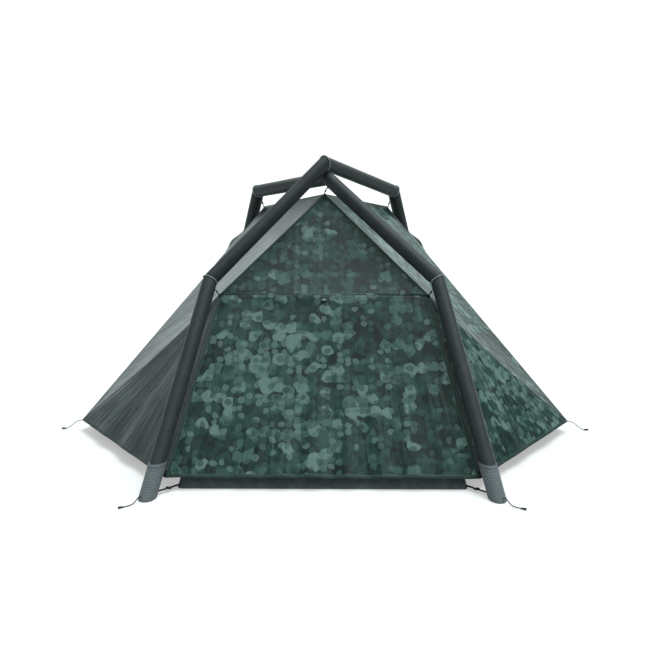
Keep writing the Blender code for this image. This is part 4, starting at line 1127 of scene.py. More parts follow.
def doorShape(s, t):
    folds = hangingFolds(s, t, foldValues["doorFold"], foldValues["doorFolds"])
    return folds + wallShape(s, t)[0], 0 * s


def wingShape(s, t):
    folds = hangingFolds(s, t, foldValues["wingFold"], foldValues["wingFolds"])
    return folds, 4 * (1 - t) * t * s * foldValues["creaseSag"]


def sideShape(s, t):
    return (-foldValues["sideSag"] * hump(s) * hump(t),
            4 * t * (1 - t) * s * foldValues["creaseSag"])


def bowlShape(s, t):
    return -foldValues["roofSag"] * 27 * (1 - t) * t * (1 - s) * t * s, 0 * s


def ventShape(s, t):
    return foldValues["ventRise"] * hump(s) * t * (2 - t), 0 * s


def doorDetail(s, t, x, y):
    width = 0.924 + 0.328 * t
    apart = np.minimum(s, 1 - s) * width
    corner = width[0, 0] / 2 if np.ndim(width) > 1 else 0.46    # a trim starts elsewhere
    fine = 0.0018 * t ** 1.3 * creaseLines(s * 26 + 1.5 * t, t * 2.2, 31, 0.25)
    fine += 0.0014 * t ** 0.8 * creaseLines(s * 15 - 3.0 * t + 4, t * 1.6, 33, 0.22)
    fine -= 0.0014 * creaseLines((s + 0.55 * t) * 11, t * 1.2 + 4, 35, 0.2) * np.clip(s * 1.5 - 0.4, 0, 1)
    fine += fanFolds(x, y, (corner, 0.0), 9, 0.45, 0.0016, 37) + 0.005 * softNoise(s * 5, t * 3, 41)
    hem = 0.0024 * softNoise(s * 24, t, 39) * t ** 6 * edgeFade(apart, 0.04)
    return edgeFade(apart) * edgeFade(y) * fine + hem + seamPucker(y, x, 43) + seamPucker(apart, y, 44)


def wallDetail(s, t, x, y):
    apart = np.minimum(s, 1 - s) * (0.66 + 0.54 * t)
    fine = 0.0022 * t ** 1.2 * creaseLines(s * 19 + 1.1 * t, t * 2.2, 61, 0.24)
    fine += 0.0016 * creaseLines(s * 10 - 2.0 * t + 5, t * 1.7, 63, 0.22)
    fine += 0.0035 * softNoise(s * 5, t * 3, 65)
    return edgeFade(apart) * edgeFade(y) * fine + seamPucker(y, x, 67)


def wingDetail(seed):
    def detail(s, t, x, y):
        apart = np.minimum(s, 1 - s) * np.maximum(t, 0.001) * 0.95
        fine = 0.0022 * t ** 0.9 * creaseLines(s * 17 + 0.6 * t, t * 2.4, seed, 0.24)
        fine += 0.0016 * t * creaseLines(s * 9 - 1.4 * t + 7, t * 1.8, seed + 2, 0.22)
        fine += 0.0014 * creaseLines(s * 30 + 3, t * 5, seed + 4, 0.2) * np.exp(-((t - 1) / 0.25) ** 2)
        fine += 0.008 * softNoise(s * 3, t * 2.5, seed + 6)
        fine += 0.002 * softNoise(s * 20, t, seed + 9) * t ** 8
        return edgeFade(apart) * fine + seamPucker(apart, t, seed + 8)
    return detail


def sideDetail(seed):
    def detail(s, t, x, y):
        wide = (1 - t) * 0.75 + t * 1.1
        apart = np.minimum(np.minimum(s, 1 - s) * wide, np.minimum(t, 1 - t))
        fine = 0.0022 * creaseLines((1 - s) * 13 + 0.7 * t, t * 2.0, seed, 0.24) * np.clip(
            1.6 - 2.2 * (1 - s), 0, 1)
        fine += 0.0016 * creaseLines(s * 9 + 2.2 * t, t * 1.7 + 3, seed + 2, 0.2)
        fine += 0.0035 * softNoise(s * 4, t * 3, seed + 4)
        return edgeFade(apart) * fine + seamPucker(apart, s + t, seed + 6)
    return detail


def bowlDetail(seed, height=1.0):
    def detail(s, t, x, y):
        apart = np.minimum(np.minimum(s, 1 - s) * np.maximum(t, 0.001) * 0.9, (1 - t) * 0.9 + 0.02)
        fine = 0.0016 * creaseLines(s * 13 + 0.7 * t, t * 1.9, seed, 0.22) * t
        fine += 0.0012 * creaseLines(s * 7 + 2 * t, t * 2.5, seed + 2, 0.2)
        fine += 0.002 * softNoise(s * 4, t * 4, seed + 4)
        return edgeFade(apart) * fine * height + seamPucker(apart, t, seed + 6)
    return detail


leftShoulder, leftFrontCorner = onSide("left", shoulder), onSide("left", frontCorner)
leftRearShoulder, leftRearCorner = onSide("left", rearShoulder), onSide("left", rearCorner)
swingRoom = math.hypot(clearance / 2, clothValues["cadFabric"] / 2) + clearance / 2
zipRoom = clothValues["zipHalfWidth"] + clearance
green = [printedCloth, greenSeam]
grey = [plainCloth, greySeam]
seamWidth, beadRadius = clothValues["seamWidth"], clothValues["bead"]

gableRoom = seamRoomOf(flyPeak, shoulder, leftShoulder, rearShoulder)
gable = makePanel([flyPeak, leftShoulder, shoulder], [gableRoom, swingRoom, gableRoom],
                  bowlShape, bowlDetail(71, 0.35), 0.3)
# the gable's roll of -2.0 sets it beyond the painted shade line, so its print is darkened with painted
# shade
addPanel("frontGable", "front_gable", gable, green + [printedCloth], "tent",
         bandParts(gable, "t1", seamWidth, slot=1, lift=0.0003, reach=(0.015, 0.985))
         + bandParts(gable, "s0", seamWidth, reach=(0.03, 0.975))
         + bandParts(gable, "s1", seamWidth, reach=(0.03, 0.975)), roll=-2.0)

door = makePanel([leftShoulder, shoulder, frontCorner, leftFrontCorner],
                 [clearance / 2, zipRoom, 0, zipRoom], doorShape, doorDetail)
addPanel("frontDoor", "front_door", door, green + [greenFlap], "door",
         hemParts(door) + flapParts(door, "s0", (0.015, 1.0), (0.015, 1.0))
         + flapParts(door, "s1", (0.015, 1.0), (0.015, 1.0)), 0.007)

roofRoom = seamRoomOf(flyPeak, rearShoulder, leftRearShoulder, shoulder)
roofRearRoom = seamRoomOf(leftRearShoulder, rearShoulder, flyPeak, rearCorner)
roof = makePanel([flyPeak, leftRearShoulder, rearShoulder], [roofRoom, roofRearRoom, roofRoom],
                 bowlShape, bowlDetail(81))
addPanel("roofPanel", "roof_panel", roof, green, "tent",
         bandParts(roof, "s0", seamWidth, reach=(0.03, 1.0))
         + bandParts(roof, "s1", seamWidth, reach=(0.03, 1.0)) + edgeBead(roof, "t1", beadRadius))

rearSideRoom = seamRoomOf(rearShoulder, rearCorner, leftRearCorner, wingTip)
rearTopRoom = seamRoomOf(leftRearShoulder, rearShoulder, rearCorner, flyPeak)
rear = makePanel([rearShoulder, leftRearShoulder, leftRearCorner, rearCorner],
                 [rearTopRoom, rearSideRoom, 0, rearSideRoom], wallShape, wallDetail)
addPanel("rearPanel", "rear_panel", rear, green, "tent",
         bandParts(rear, "t0", seamWidth) + hemParts(rear)
         + bandParts(rear, "s0", seamWidth) + bandParts(rear, "s1", seamWidth))

wingRooms = [zipRoom, 0, seamRoomOf(shoulder, wingTip, frontCorner, rearShoulder)]
sideRooms = [
    seamRoomOf(flyPeak, shoulder, rearShoulder, leftShoulder),
    seamRoomOf(shoulder, wingTip, rearShoulder, frontCorner),
    seamRoomOf(rearShoulder, wingTip, shoulder, rearCorner),
    seamRoomOf(rearShoulder, flyPeak, shoulder, leftRearShoulder)]
rearWingRooms = [
    seamRoomOf(rearShoulder, wingTip, rearCorner, shoulder), 0,
    seamRoomOf(rearShoulder, rearCorner, wingTip, leftRearCorner)]

ventValues = {"distance": 0.170, "length": 0.190, "taper": 0.050, "reach": 0.034, "overlap": 0.004}


def addWing(side, cloth, flap, seed, values):
    # front, side and rear cloths of one wing, their seams, and the vent hood on the rear seam
    peak, here, low, tip, rearTop, rearLow = (onSide(side, spot) for spot in (
        flyPeak, shoulder, frontCorner, wingTip, rearShoulder, rearCorner))

    wing = makePanel([here, low, tip], wingRooms, wingShape, wingDetail(seed))
    addPanel(f"{side}WingFrontPanel", f"{side}_wing_front_panel", wing, cloth + [flap], "tent",
             hemParts(wing) + flapParts(wing, "s0", (0.02, 1.0)), 0.007)
    flank = makePanel([peak, here, tip, rearTop], sideRooms, sideShape, sideDetail(seed + 20), 0.15)
    # the rear ridge's bead is flat where the hood lies over it
    ridgeLength = np.linalg.norm(tip - rearTop)
    hoodFrom = (values["distance"] - values["overlap"]) / ridgeLength
    hoodTo = (values["distance"] + values["length"] + values["overlap"]) / ridgeLength
    addPanel(f"{side}SidePanel", f"{side}_side_panel", flank, cloth, "tent",
             bandParts(flank, "s1", seamWidth) + edgeBead(flank, "s1", beadRadius * 0.6)
             + bandParts(flank, "t0", seamWidth) + edgeBead(flank, "t0", beadRadius)
             + edgeBead(flank, "s0", beadRadius)
             + edgeBead(flank, "t1", beadRadius, reach=(0.0, hoodFrom))
             + edgeBead(flank, "t1", beadRadius * 0.35, reach=(hoodFrom, hoodTo))
             + edgeBead(flank, "t1", beadRadius, reach=(hoodTo, 1.0)))
    back = makePanel([rearTop, tip, rearLow], rearWingRooms, bowlShape, bowlDetail(seed + 40))
    addPanel(f"{side}WingRearPanel", f"{side}_wing_rear_panel", back, cloth, "tent",
             hemParts(back) + bandParts(back, "s0", seamWidth, reach=(0.02, 1.0))
             + edgeBead(back, "s1", beadRadius * 0.6))

    ridge = unit(tip - rearTop)
    out = outwardOf(tip, here, tip, rearTop)
    start = rearTop + values["distance"] * ridge + (clothValues["cadFabric"] + 2 * clearance) * out
    end = start + values["length"] * ridge
    past = np.cross(ridge, out)
    past = -past if past.dot(here - rearTop) > 0 else past
    reach, taper = values["reach"] * past, values["taper"] * ridge
    hood = makePanel([start, end, end + reach - taper, start + reach + taper],
                     [clearance / 2, 0, 0, 0], ventShape)
    addPanel(f"{side}VentHood", f"{side}_vent_hood", hood, cloth, f"{side}_hood",
             edgeBead(hood, "t1", 0.0012) + edgeBead(hood, "s0", 0.0010, reach=(0.4, 1.0))
             + edgeBead(hood, "s1", 0.0010, reach=(0.4, 1.0)), 0.004)


addWing("left", grey, greyFlap, 101, ventValues)
addWing("right", green, greenFlap, 151, ventValues)
print("fly panels made")


# Door zips, their sliders, and the toggle that ties up the rolled door

doorOut = outwardOf(leftShoulder, frontCorner, shoulder, leftFrontCorner)
zipValues = {
    "endRoom": 0.012, "width": 0.008, "gap": 0.0002, "thickness": 0.0012,
    "pitch": 0.0040, "coil": 0.0011, "coilApart": 0.0009,
    "sliderLength": 0.014, "sliderHeight": 0.004, "bridgeWidth": 0.0030,
    "pullLength": 0.022, "pullWidth": 0.006, "pullThickness": 0.0016,
    "gripWidth": 0.0009, "gripHeight": 0.0007, "cadThickness": 0.0016,
}


def addZip(side, values):
    top, low = onSide(side, shoulder), onSide(side, frontCorner)
    run = unit(low - top)
    level = np.cross(doorOut, run)
    length = np.linalg.norm(low - top) - values["endRoom"]
    start = low - length * run
    along = np.linspace(0, length, round(length / 0.006))[:, None]
    reach = values["width"] / 2
    tape = []
    for way in (-1, 1):
        across = np.array((values["gap"], values["gap"] + 0.0003, reach - 0.0004, reach)) * way
        points = start + along[:, :, None] * run + across[None, :, None] * level
        flat = mapOf(across[None, :], along)
        tape += clothParts(points, flat, flat, values["thickness"], doorOut)
    addPiece(f"{side}ZipTape", tape, [zipTape], "tent", [f"{side}_door_zip"])

    # two coils whose turns lie between each other
    along = np.linspace(0, length, int(length / values["pitch"] * 6))[:, None]
    coils = []
    for way in (-1, 1):
        wave = np.sin(2 * np.pi * along / values["pitch"] + (0 if way < 0 else np.pi))
        path = (start + along * run + (values["thickness"] / 2 + 0.0004) * doorOut
                + way * (values["coilApart"] + 0.0002 * wave) * level)
        coils += tubePart(path, values["coil"] * (0.86 + 0.26 * wave[:, 0]), 8, hint=doorOut)
    addPiece(f"{side}ZipCoils", coils, [greyAcetal], "tent")

    # the slider: two plates joined at the nose, a bridge, and a pull with a grip
    axes = (level, run, doorOut)
    long, high = values["sliderLength"], values["sliderHeight"]
    rest = low - long / 2 * run
    foot = values["cadThickness"] / 2 + clearance
    lift = foot + high / 2
    parts = blockPart((values["width"] - 0.0008, long, high * 0.55),
                      rest + (lift - high * 0.22) * doorOut, axes, 0.0018)
    parts += blockPart((values["bridgeWidth"], long * 0.8, high * 0.5),
                       rest + (lift + high * 0.22) * doorOut, axes, 0.0010)
    pullLength, pullWidth, thick = (values[key] for key in ("pullLength", "pullWidth", "pullThickness"))
    middle = rest - pullLength / 2 * run + (foot + high - thick * 0.55) * doorOut
    parts += blockPart((pullWidth, pullLength, thick), middle, axes, 0.0022)
    for share in (0.10, 0.20, 0.30, 0.40):
        parts += blockPart(
            (pullWidth * 0.62, values["gripWidth"], values["gripHeight"]),
            middle - share * pullLength * run + (thick / 2 + 0.0002) * doorOut, axes, 0.0002)
    addPiece(f"{side}ZipSlider", parts, [blackAcetal], f"{side}_slider", [f"{side}_zip_slider"],
             35)


for side in ("left", "right"):
    addZip(side, zipValues)

toggleValues = {
    "length": 0.026, "radius": 0.0047, "drop": 0.034,
    "loopWidth": 0.006, "keeperWidth": 0.022, "keeperRise": 0.012, "tape": 0.0009,
    # shares of the radius, and of the length: a turned barrel with a waist
    "barrel": [(0, 0), (0.45, 0), (0.8, 0.05), (0.96, 0.12), (1, 0.2), (1, 0.34), (0.86, 0.41),
               (0.76, 0.46), (0.76, 0.54), (0.86, 0.59), (1, 0.66), (1, 0.8), (0.96, 0.88),
               (0.8, 0.95), (0.45, 1), (0, 1)],
    # shares of the keeper's rise and of the radius up the door, and of the radius out from it
    "keeper": [(1, 0, -0.62), (0.66, 0, 0.10), (0, 0.80, 0.62), (0, 0.30, 0.90)],
}


def tapeStrip(path, widths, level, thickness, outward, slot):
    # a strip of tape along a path, as wide as it is given at each point
    across = np.linspace(-0.5, 0.5, 7)[None, :] * widths[:, None]
    points = path[:, None, :] + across[:, :, None] * level
    flat = mapOf(across, pathLengths(path)[:, None])
    return clothParts(points, flat, flat, thickness, outward, slot)


def addToggle(values):
    # the barrel lies across the door in a loop of tape from the door's top
    doorTop = (shoulder + leftShoulder) / 2
    downDoor = unit((frontCorner + leftFrontCorner) / 2 - doorTop)
    level = np.cross(doorOut, downDoor)
    radius, length, drop, tape = (values[key] for key in ("radius", "length", "drop", "tape"))
    lift = clothValues["cadFabric"] / 2 + clearance + radius
    middle = doorTop + drop * downDoor + lift * doorOut
    profile = [(radius * wide, length * far) for wide, far in values["barrel"]]
    parts = lathePart(profile, middle - length / 2 * level, level, 28)
    # the loop's two runs, and the stitched keeper that holds the barrel in it
    low = radius - tape
    for run in (0, 1):
        path = smoothRoute([
            doorTop + 0.001 * downDoor + (lift - low + run * tape * 1.2) * doorOut,
            middle - 0.5 * drop * downDoor - (low - run * 0.0022) * doorOut,
            middle - 0.9 * radius * downDoor - (0.6 - 0.7 * run) * radius * doorOut], 0.002)
        parts += tapeStrip(path, np.full(len(path), values["loopWidth"]), level, tape, doorOut, 2)
    path = smoothRoute([middle - (high * values["keeperRise"] + wide * radius) * downDoor
                        + out * radius * doorOut for high, wide, out in values["keeper"]], 0.001)
    widths = values["keeperWidth"] * np.linspace(1, 0.36, len(path))
    parts += tapeStrip(path, widths, level, tape, doorOut, 1)
    addPiece("doorToggle", parts, [blackAcetal, pipingTape, greenSeam], "toggle", ["door_toggle"],
             40)


addToggle(toggleValues)
print("zips and toggle made")


# Inner tent

floorFront = np.array((0.575, -0.99188, 0.0))
floorRear = np.array((0.530, 0.94912, 0.0))
innerShoulder = np.array((0.415, -0.43588, 0.640))
innerRear = np.array((0.285, 0.52912, 0.945))
innerPeak = np.array((0.0, -0.06088, 1.040))
tubValues = {
    "height": 0.090, "fabric": 0.0012, "round": 0.010, "crease": 0.0022, "swell": 0.0015,
    "binding": 0.0019, "rumple": 0.0012,
    "foot": 0.0012,          # how far the lowest ring lies inside the others
    "seamAllowance": 0.030,
    "steps": (128, 194, 118, 194),      # along the front, right, rear and left walls
}


def wallCorner(side, front, height):
    low, high = (floorFront, innerShoulder) if front else (floorRear, innerRear)
    return onSide(side, lerp(low, high, height / high[2]))


def cornerBend(corner, start, end, turns):
    # a soft bend past a corner, as a curve of its start, the corner and its end
    turns = np.asarray(turns)[:, None]
    return (1 - turns) ** 2 * start + 2 * turns * (1 - turns) * corner + turns ** 2 * end


def tubRing(height, inset, values):
    # the tray's outline at a height, with rounded corners, and each point's way out
    corners = insetCorners([wallCorner(*place, height) for place in (
        ("left", True), ("right", True), ("right", False), ("left", False))], [inset] * 4)
    rounding = values["round"]
    ring, outs = [], []
    for index, (corner, count) in enumerate(zip(corners, values["steps"])):
        ahead, behind = cornerWays(corners, index)
        turns = np.linspace(0, 1, 5)
        ring.extend(cornerBend(corner, corner + rounding * behind, corner + rounding * ahead, turns))
        outs += [unit(-(behind * turn + ahead * (1 - turn))) for turn in turns]
        straight = np.linalg.norm(corners[(index + 1) % 4] - corner) - 2 * rounding
        shares = np.arange(1, count)[:, None] / count
        ring.extend(corner + (rounding + shares * straight) * ahead)
        outs += [unit(np.cross(ahead, up))] * (count - 1)
    return np.array(ring + ring[:1]), np.array(outs + outs[:1])


def addTub(values):
    heights = np.concatenate([[0.0, 0.0015], np.linspace(0.006, values["height"], 12)])
    rows, inners = [], []
    for height in heights:
        ring, outs = tubRing(height, 0.0 if height > 0.001 else values["foot"], values)
        lengths = pathLengths(ring)
        share = height / values["height"]
        crease = creaseLines(lengths / 0.035, np.full_like(lengths, share * 1.3), 201, 0.26)
        crease -= 0.6 * creaseLines(lengths / 0.055 + 9, np.full_like(lengths, share), 203, 0.3)
        swell = values["crease"] * hump(share * 0.92) * (crease - 0.5)
        swell += values["swell"] * hump(share) * softNoise(lengths / 0.11, 0 * lengths, 205)
        swell[-1] = swell[0]
        rows.append(ring + swell[:, None] * outs)
        inside, _ = tubRing(max(height, 0.0016), values["fabric"], values)
        inners.append(inside + swell[:, None] * outs)
    rows, inners = np.array(rows), np.array(inners)
    flat = mapOf(pathLengths(rows[-1])[None, :], heights[:, None])
    parts = [gridPart(rows, flat), gridPart(inners[1:], flat[1:]),
             gridPart(np.stack([rows[-1], inners[-1]])), fanPart(rows[0, :-1], rows[0, :-1, :2])]
    # the floor inside, softly rumpled
    edge = inners[1]
    middle = edge[:-1].mean(axis=0)
    rings = []
    for share in np.linspace(0, 1, 60) ** 0.8:
        ring = lerp(edge, middle, share)
        rumple = values["rumple"] * (0.5 + 0.5 * softNoise(ring[:, 0] * 9 + 30, ring[:, 1] * 9 + 30, 207))
        ring[:, 2] = edge[:, 2] + rumple * min(1.0, share * 8)
        rings.append(ring)
    rings = np.array(rings)
    parts.append(gridPart(rings, rings[:, :, :2]))
    tub = addPiece("groundsheetTub", parts, [floorCloth], "tent", ["groundsheet_tub"], 50)
    binding = tubePart(rows[-1, :-1] + 0.0003 * up, values["binding"], 8, closed=True)
    trim = addPiece("tubBinding", binding, [darkSeam], "tent")


addTub(tubValues)

canopyValues = {
    "foot": 0.0908, "sag": 0.010, "grid": 0.014, "trim": 0.0011,
    "doorHalf": 0.400, "doorTopHalf": 0.320, "sill": 0.112, "head": 0.560, "round": 0.120,
    "seam": 0.0009, "rings": 16, "leafRings": 30,
    "rollWidth": 1.95, "cuttingWaste": 1.02, "leafCut": (0.81, 0.60),
    # the zip's band on the door leaf: places in from its edge, heights over it, and its flat map
    "band": [(0.0002, 0.0002, -0.0048), (0.0006, 0.0009, -0.0040),
             (0.0090, 0.0009, 0.0040), (0.0096, 0.0001, 0.0048)],
}


def frontWallSpot(across, height):
    spot = lerp(floorFront, innerShoulder, height / innerShoulder[2])
    return np.array((across, spot[1], height))


def roundedRing(corners, rounding, count=240):
    # a closed outline with rounded corners, as evenly spread points
    outline = []
    for index, corner in enumerate(corners):
        ahead, behind = cornerWays(corners, index)
        outline.extend(cornerBend(corner, corner + behind * rounding, corner + ahead * rounding,
                                  np.linspace(0, 1, 13)))
    closed = np.array(outline + outline[:1])
    lengths = pathLengths(closed)
    spots = np.linspace(0, lengths[-1], count + 1)
    return np.stack([np.interp(spots, lengths, places) for places in closed.T], axis=1)


def matchedRing(ring, middle, corners):
    # for each point of a ring, where the ray from the middle through it meets an outline
    found = []
    closed = list(corners) + [corners[0]]
    normal = unit(np.cross(corners[1] - corners[0], corners[2] - corners[0]))
    for spot in ring:
        ray, best = spot - middle, math.inf
        for a, b in zip(closed[:-1], closed[1:]):
            edge = b - a
            turned = np.cross(edge, normal)
            slope = ray.dot(turned)
            if abs(slope) > 1e-9:
                reach = (a - middle).dot(turned) / slope
                share = (middle + reach * ray - a).dot(edge) / edge.dot(edge)
                if reach > 0 and -1e-6 <= share <= 1 + 1e-6:
                    best = min(best, reach)
        found.append(middle + best * ray)
    return np.array(found)


def flatOf(points, normal):
    across = unit(np.cross(up, normal))
    return mapOf(points @ across, points @ np.cross(normal, across))


def addCanopy(values):
    fabric, sag, rounding = clothValues["inner"], values["sag"], values["round"]
    sides = [(side, front) for side in ("left", "right") for front in (True, False)]
    corners = {place: wallCorner(*place, values["foot"]) for place in sides}
    tops = {(side, front): onSide(side, innerShoulder if front else innerRear) for side, front in sides}

    def sagging(s, t):
        return -sag * hump(s) * hump(t), 0 * s

    def rumpled(seed):
        def detail(s, t, x, y):
            fade = hump(s) ** 0.5 * hump(t) ** 0.5
            return fade * (0.004 * softNoise(s * 5, t * 4, seed) + 0.002 * creaseLines(
                s * 12 + t, t * 2, seed + 2, 0.25))
        return detail

    # the right, left and rear walls, then the roof's four fans
    panels = [[tops[first], tops[second], corners[second], corners[first]] for first, second in (
        (("right", True), ("right", False)), (("left", False), ("left", True)),
        (("right", False), ("left", False)))]
    panels += [[innerPeak, tops[first], tops[second]] for first, second in (
        (("left", True), ("right", True)), (("right", True), ("right", False)),
        (("right", False), ("left", False)), (("left", False), ("left", True)))]
    parts, trims, area = [], [], 0.0
    for number, spots in enumerate(panels):
        panel = makePanel(spots, [0.0] * len(spots), sagging, rumpled(301 + 10 * number))
        s, t = panelGrid(panel, values["grid"])
        points, x, y = panelPoints(panel, s, t)
        area += surfaceArea(points)
        parts += clothParts(points, mapOf(x, y), panelRun(panel, s, x, y), fabric, panel["normal"])
        for edge in ("s0", "t1" if panel["fan"] else "t0"):
            trims += edgeBead(panel, edge, values["trim"])

    # the front wall, round its door
    doorCorners = [frontWallSpot(-values["doorHalf"], values["sill"]),
                   frontWallSpot(values["doorHalf"], values["sill"]),
                   frontWallSpot(values["doorTopHalf"], values["head"]),
                   frontWallSpot(-values["doorTopHalf"], values["head"])]
    wallOut = outwardOf(doorCorners[0], doorCorners[2], doorCorners[1], doorCorners[3])
    wall = [corners["left", True], corners["right", True], tops["right", True], tops["left", True]]
    middle = sum(doorCorners) / 4
    opening = roundedRing(doorCorners, rounding)
    outer = matchedRing(opening, middle, wall)
    for corner in wall:
        outer[np.linalg.norm(outer[:-1] - corner, axis=1).argmin()] = corner
    outer[-1] = outer[0]
    shares = np.linspace(0, 1, values["rings"])
    rows = np.array([lerp(opening, outer, share) for share in shares])
    flat = flatOf(rows, wallOut)
    swell = 0.0025 * softNoise(flat[:, :, 0] * 8 + 9, flat[:, :, 1] * 8 + 9, 391) * hump(shares)[:, None]
    rows = rows + swell[:, :, None] * wallOut
    area += surfaceArea(rows)
    parts += clothParts(rows, flat, flat, fabric, wallOut)
    trims += tubePart(opening[:-1] + 0.0004 * wallOut + 0.0016 * unitRows(opening[:-1] - middle),
                      0.0013, 8, closed=True)
    canopy = addPiece("innerCanopy", parts, [innerCloth], "tent", ["inner_canopy"])
    trim = addPiece("innerCanopyTrim", trims, [greySeam], "tent")

    # the door leaf, which the zip's band runs round
    edge = roundedRing(insetCorners(doorCorners, [values["seam"]] * 4), rounding)
    shares = np.linspace(0, 1, values["leafRings"]) ** 0.9
    rows = np.array([lerp(edge, middle, min(share, 0.995)) for share in shares])
    flat = flatOf(rows, wallOut)
    fold = 0.003 * softNoise(flat[:, :, 0] * 6 + 19, flat[:, :, 1] * 5 + 19, 401)
    fold += 0.0014 * creaseLines(flat[:, :, 0] * 14 + 9, flat[:, :, 1] * 3 + 9, 403, 0.25)
    fold *= hump(np.minimum(shares * 0.75, 0.5))[:, None]
    rows = rows + fold[:, :, None] * wallOut
    parts = clothParts(rows, flat, flat, fabric, wallOut) + [fanPart(rows[-1, :-1])]
    leaf = addPiece("innerDoor", parts, [innerCloth], "mesh_door", ["inner_door"])
    inward = unitRows(middle - edge)
    depths, rises, across = np.array(values["band"]).T[:, :, None]
    band = edge + depths[:, :, None] * inward + rises[:, :, None] * wallOut
    bandMap = mapOf(across, pathLengths(band[0])[None, :])
    border = addPiece("innerDoorBand", [gridPart(band, bandMap)], [greySeam], "mesh_door")


addCanopy(canopyValues)
print("inner tent made")


# Hangers and corner cords

hangerValues = {
    "radius": 0.0022, "straight": 0.008, "offset": 0.032, "inset": 0.014, "corner": 0.070,
    # radii and heights of the sewn tab at each end; its last radius is the cord's
    "tab": [(0, 0), (0.0050, 0), (0.0056, 0.0008), (0.0050, 0.0018), (0.0034, 0.0026)],
    "tabHeight": 0.0040, "tabSunk": 0.0012,
    # radii of the tensioner on the cord's middle, and shares of its length
    "bead": [(0.0038, -0.42), (0.0044, -0.2), (0.0040, 0), (0.0044, 0.2), (0.0038, 0.42)],
    "beadLength": 0.009,
}


def clothSpot(corner, first, second):
    # a place on the cloth inside a corner, a cloth's thickness out, and the way out
    inwards = unit(unit(first - corner) + unit(second - corner))
    normal = outwardOf(corner, first, corner, second)
    reach = clothValues["cadFabric"] / 2 + clearance
    return corner + hangerValues["inset"] * inwards + reach * normal, normal


def addHanger(name, node, skin, cloth, values):
    # a braided cord from a beam's skin to the fly, sewn to a tab at each end
    (skinPoint, away), (clothPoint, normal) = skin, cloth
    route = [skinPoint + share * values["straight"] * away for share in (0, 0.5, 1)]
    route += [clothPoint + share * values["straight"] * normal for share in (1, 0.5, 0)]
    path = smoothRoute(route, 0.0015)
    radius, length = values["radius"], values["beadLength"]
    parts = tubePart(path, radius, 12)
    for spot, way in ((path[1], away), (path[-2], normal)):
        parts += lathePart(values["tab"] + [(radius, values["tabHeight"])],
                           spot - values["tabSunk"] * way, way, 16, 1)
    middle = len(path) // 2
    profile = [(radius, -length / 2)]
    profile += [(wide, share * length) for wide, share in values["bead"]] + [(radius, length / 2)]
    parts += lathePart(profile, path[middle], path[middle + 1] - path[middle - 1], 16, 1)
    addPiece(name, parts, [blackCord, blackAcetal], "tent", [node], 45)


def addHangers(side, values):
    foot, elbow, corner, low, tip, peak, lowFoot, highElbow, rearTop = (
        onSide(side, spot) for spot in (frontFoot, frontElbow, shoulder, frontCorner, wingTip,
                                        flyPeak, rearFoot, rearElbow, rearShoulder))
    reach = np.linalg.norm(elbow - foot) - values["offset"]
    addHanger(f"front{side.title()}ShoulderHanger", f"front_{side}_shoulder_hanger",
              skinSpot(foot, elbow, reach, corner, beamRadius), clothSpot(corner, tip, peak), values)
    reach = np.linalg.norm(highElbow - lowFoot) - values["offset"]
    addHanger(f"rear{side.title()}ShoulderHanger", f"rear_{side}_shoulder_hanger",
              skinSpot(lowFoot, highElbow, reach, rearTop, beamRadius),
              clothSpot(rearTop, tip, peak), values)
    hemSpot = clothSpot(low, corner, tip)
    addHanger(f"front{side.title()}CornerCord", f"front_{side}_corner_cord",
              skinSpot(foot, elbow, values["corner"], hemSpot[0], bootRadius), hemSpot, values)


for side in ("left", "right"):
    addHangers(side, hangerValues)
addHanger("apexHanger", "apex_hanger",
          skinSpot(lowerApex, frontElbow, hangerValues["offset"], flyPeak, beamRadius),
          clothSpot(flyPeak, rearShoulder, leftRearShoulder), hangerValues)


# Floor straps and their buckles

strapValues = {"width": 0.015, "thickness": 0.0012, "height": 0.014, "cadThickness": 0.0016,
               "sag": 0.0006, "buckleLength": 0.014, "buckleWidth": 0.023, "buckleHeight": 0.006,
               "barWidth": 0.0026, "gap": 0.0005, "gussetReach": 0.016, "gussetHeight": 0.040,
               "gussetSunk": 0.005, "gussetCloth": 0.0014}


def addStrap(name, node, side, front, foot, elbow, values):
    # a strap of webbing from the tray's corner to a boot; it hands back its middle and axes
    line = unit(elbow - foot)
    corner = wallCorner(side, front, values["height"] - values["cadThickness"] / 2)
    centre = lerp(foot, elbow, values["height"] / elbow[2])
    away = unit((corner - centre) * (1, 1, 0))
    end = centre + away * (bootRadius / math.sqrt(1 - away.dot(line) ** 2) + clearance)
    start = np.array((corner[0], corner[1], values["height"])) - clearance * away
    level = np.cross(up, away)
    along = np.linspace(0, 1, 40)[:, None]
    across = np.linspace(-0.5, 0.5, 9)[None, :] * values["width"]
    # each thread of the end meets the round boot
    depth = along ** 4 * (np.sqrt(np.maximum(bootRadius ** 2 - across ** 2, 0)) - bootRadius)
    points = (lerp(start, end, along)[:, None, :] + across[:, :, None] * level
              + depth[:, :, None] * away - (values["sag"] * hump(along))[:, :, None] * up)
    flat = mapOf(across, along * np.linalg.norm(end - start))
    parts = clothParts(points, flat, flat, values["thickness"], up)
    # the tray's corner is drawn out into a gusset that narrows to the strap; its root lies on the
    # tray's leaning corner, a little inside the corner's rounding
    reach = np.linspace(0, 1, 12)[:, None]
    top = values["gussetHeight"] * (1 - reach) ** 1.6 + values["height"] * 0.9
    heights = np.linspace(0.10, 1, 8)[None, :] * top
    root = np.array([[wallCorner(side, front, height) for height in row] for row in heights])
    reach = reach * values["gussetReach"]
    web = root + (reach - values["gussetSunk"])[:, :, None] * away
    flat = mapOf(reach, heights)
    parts += clothParts(web, flat, flat, values["gussetCloth"], level, 1)
    addPiece(name, parts, [blackWebbing, floorCloth], "tent", [node])
    return (start + end) / 2, (level, away, up)


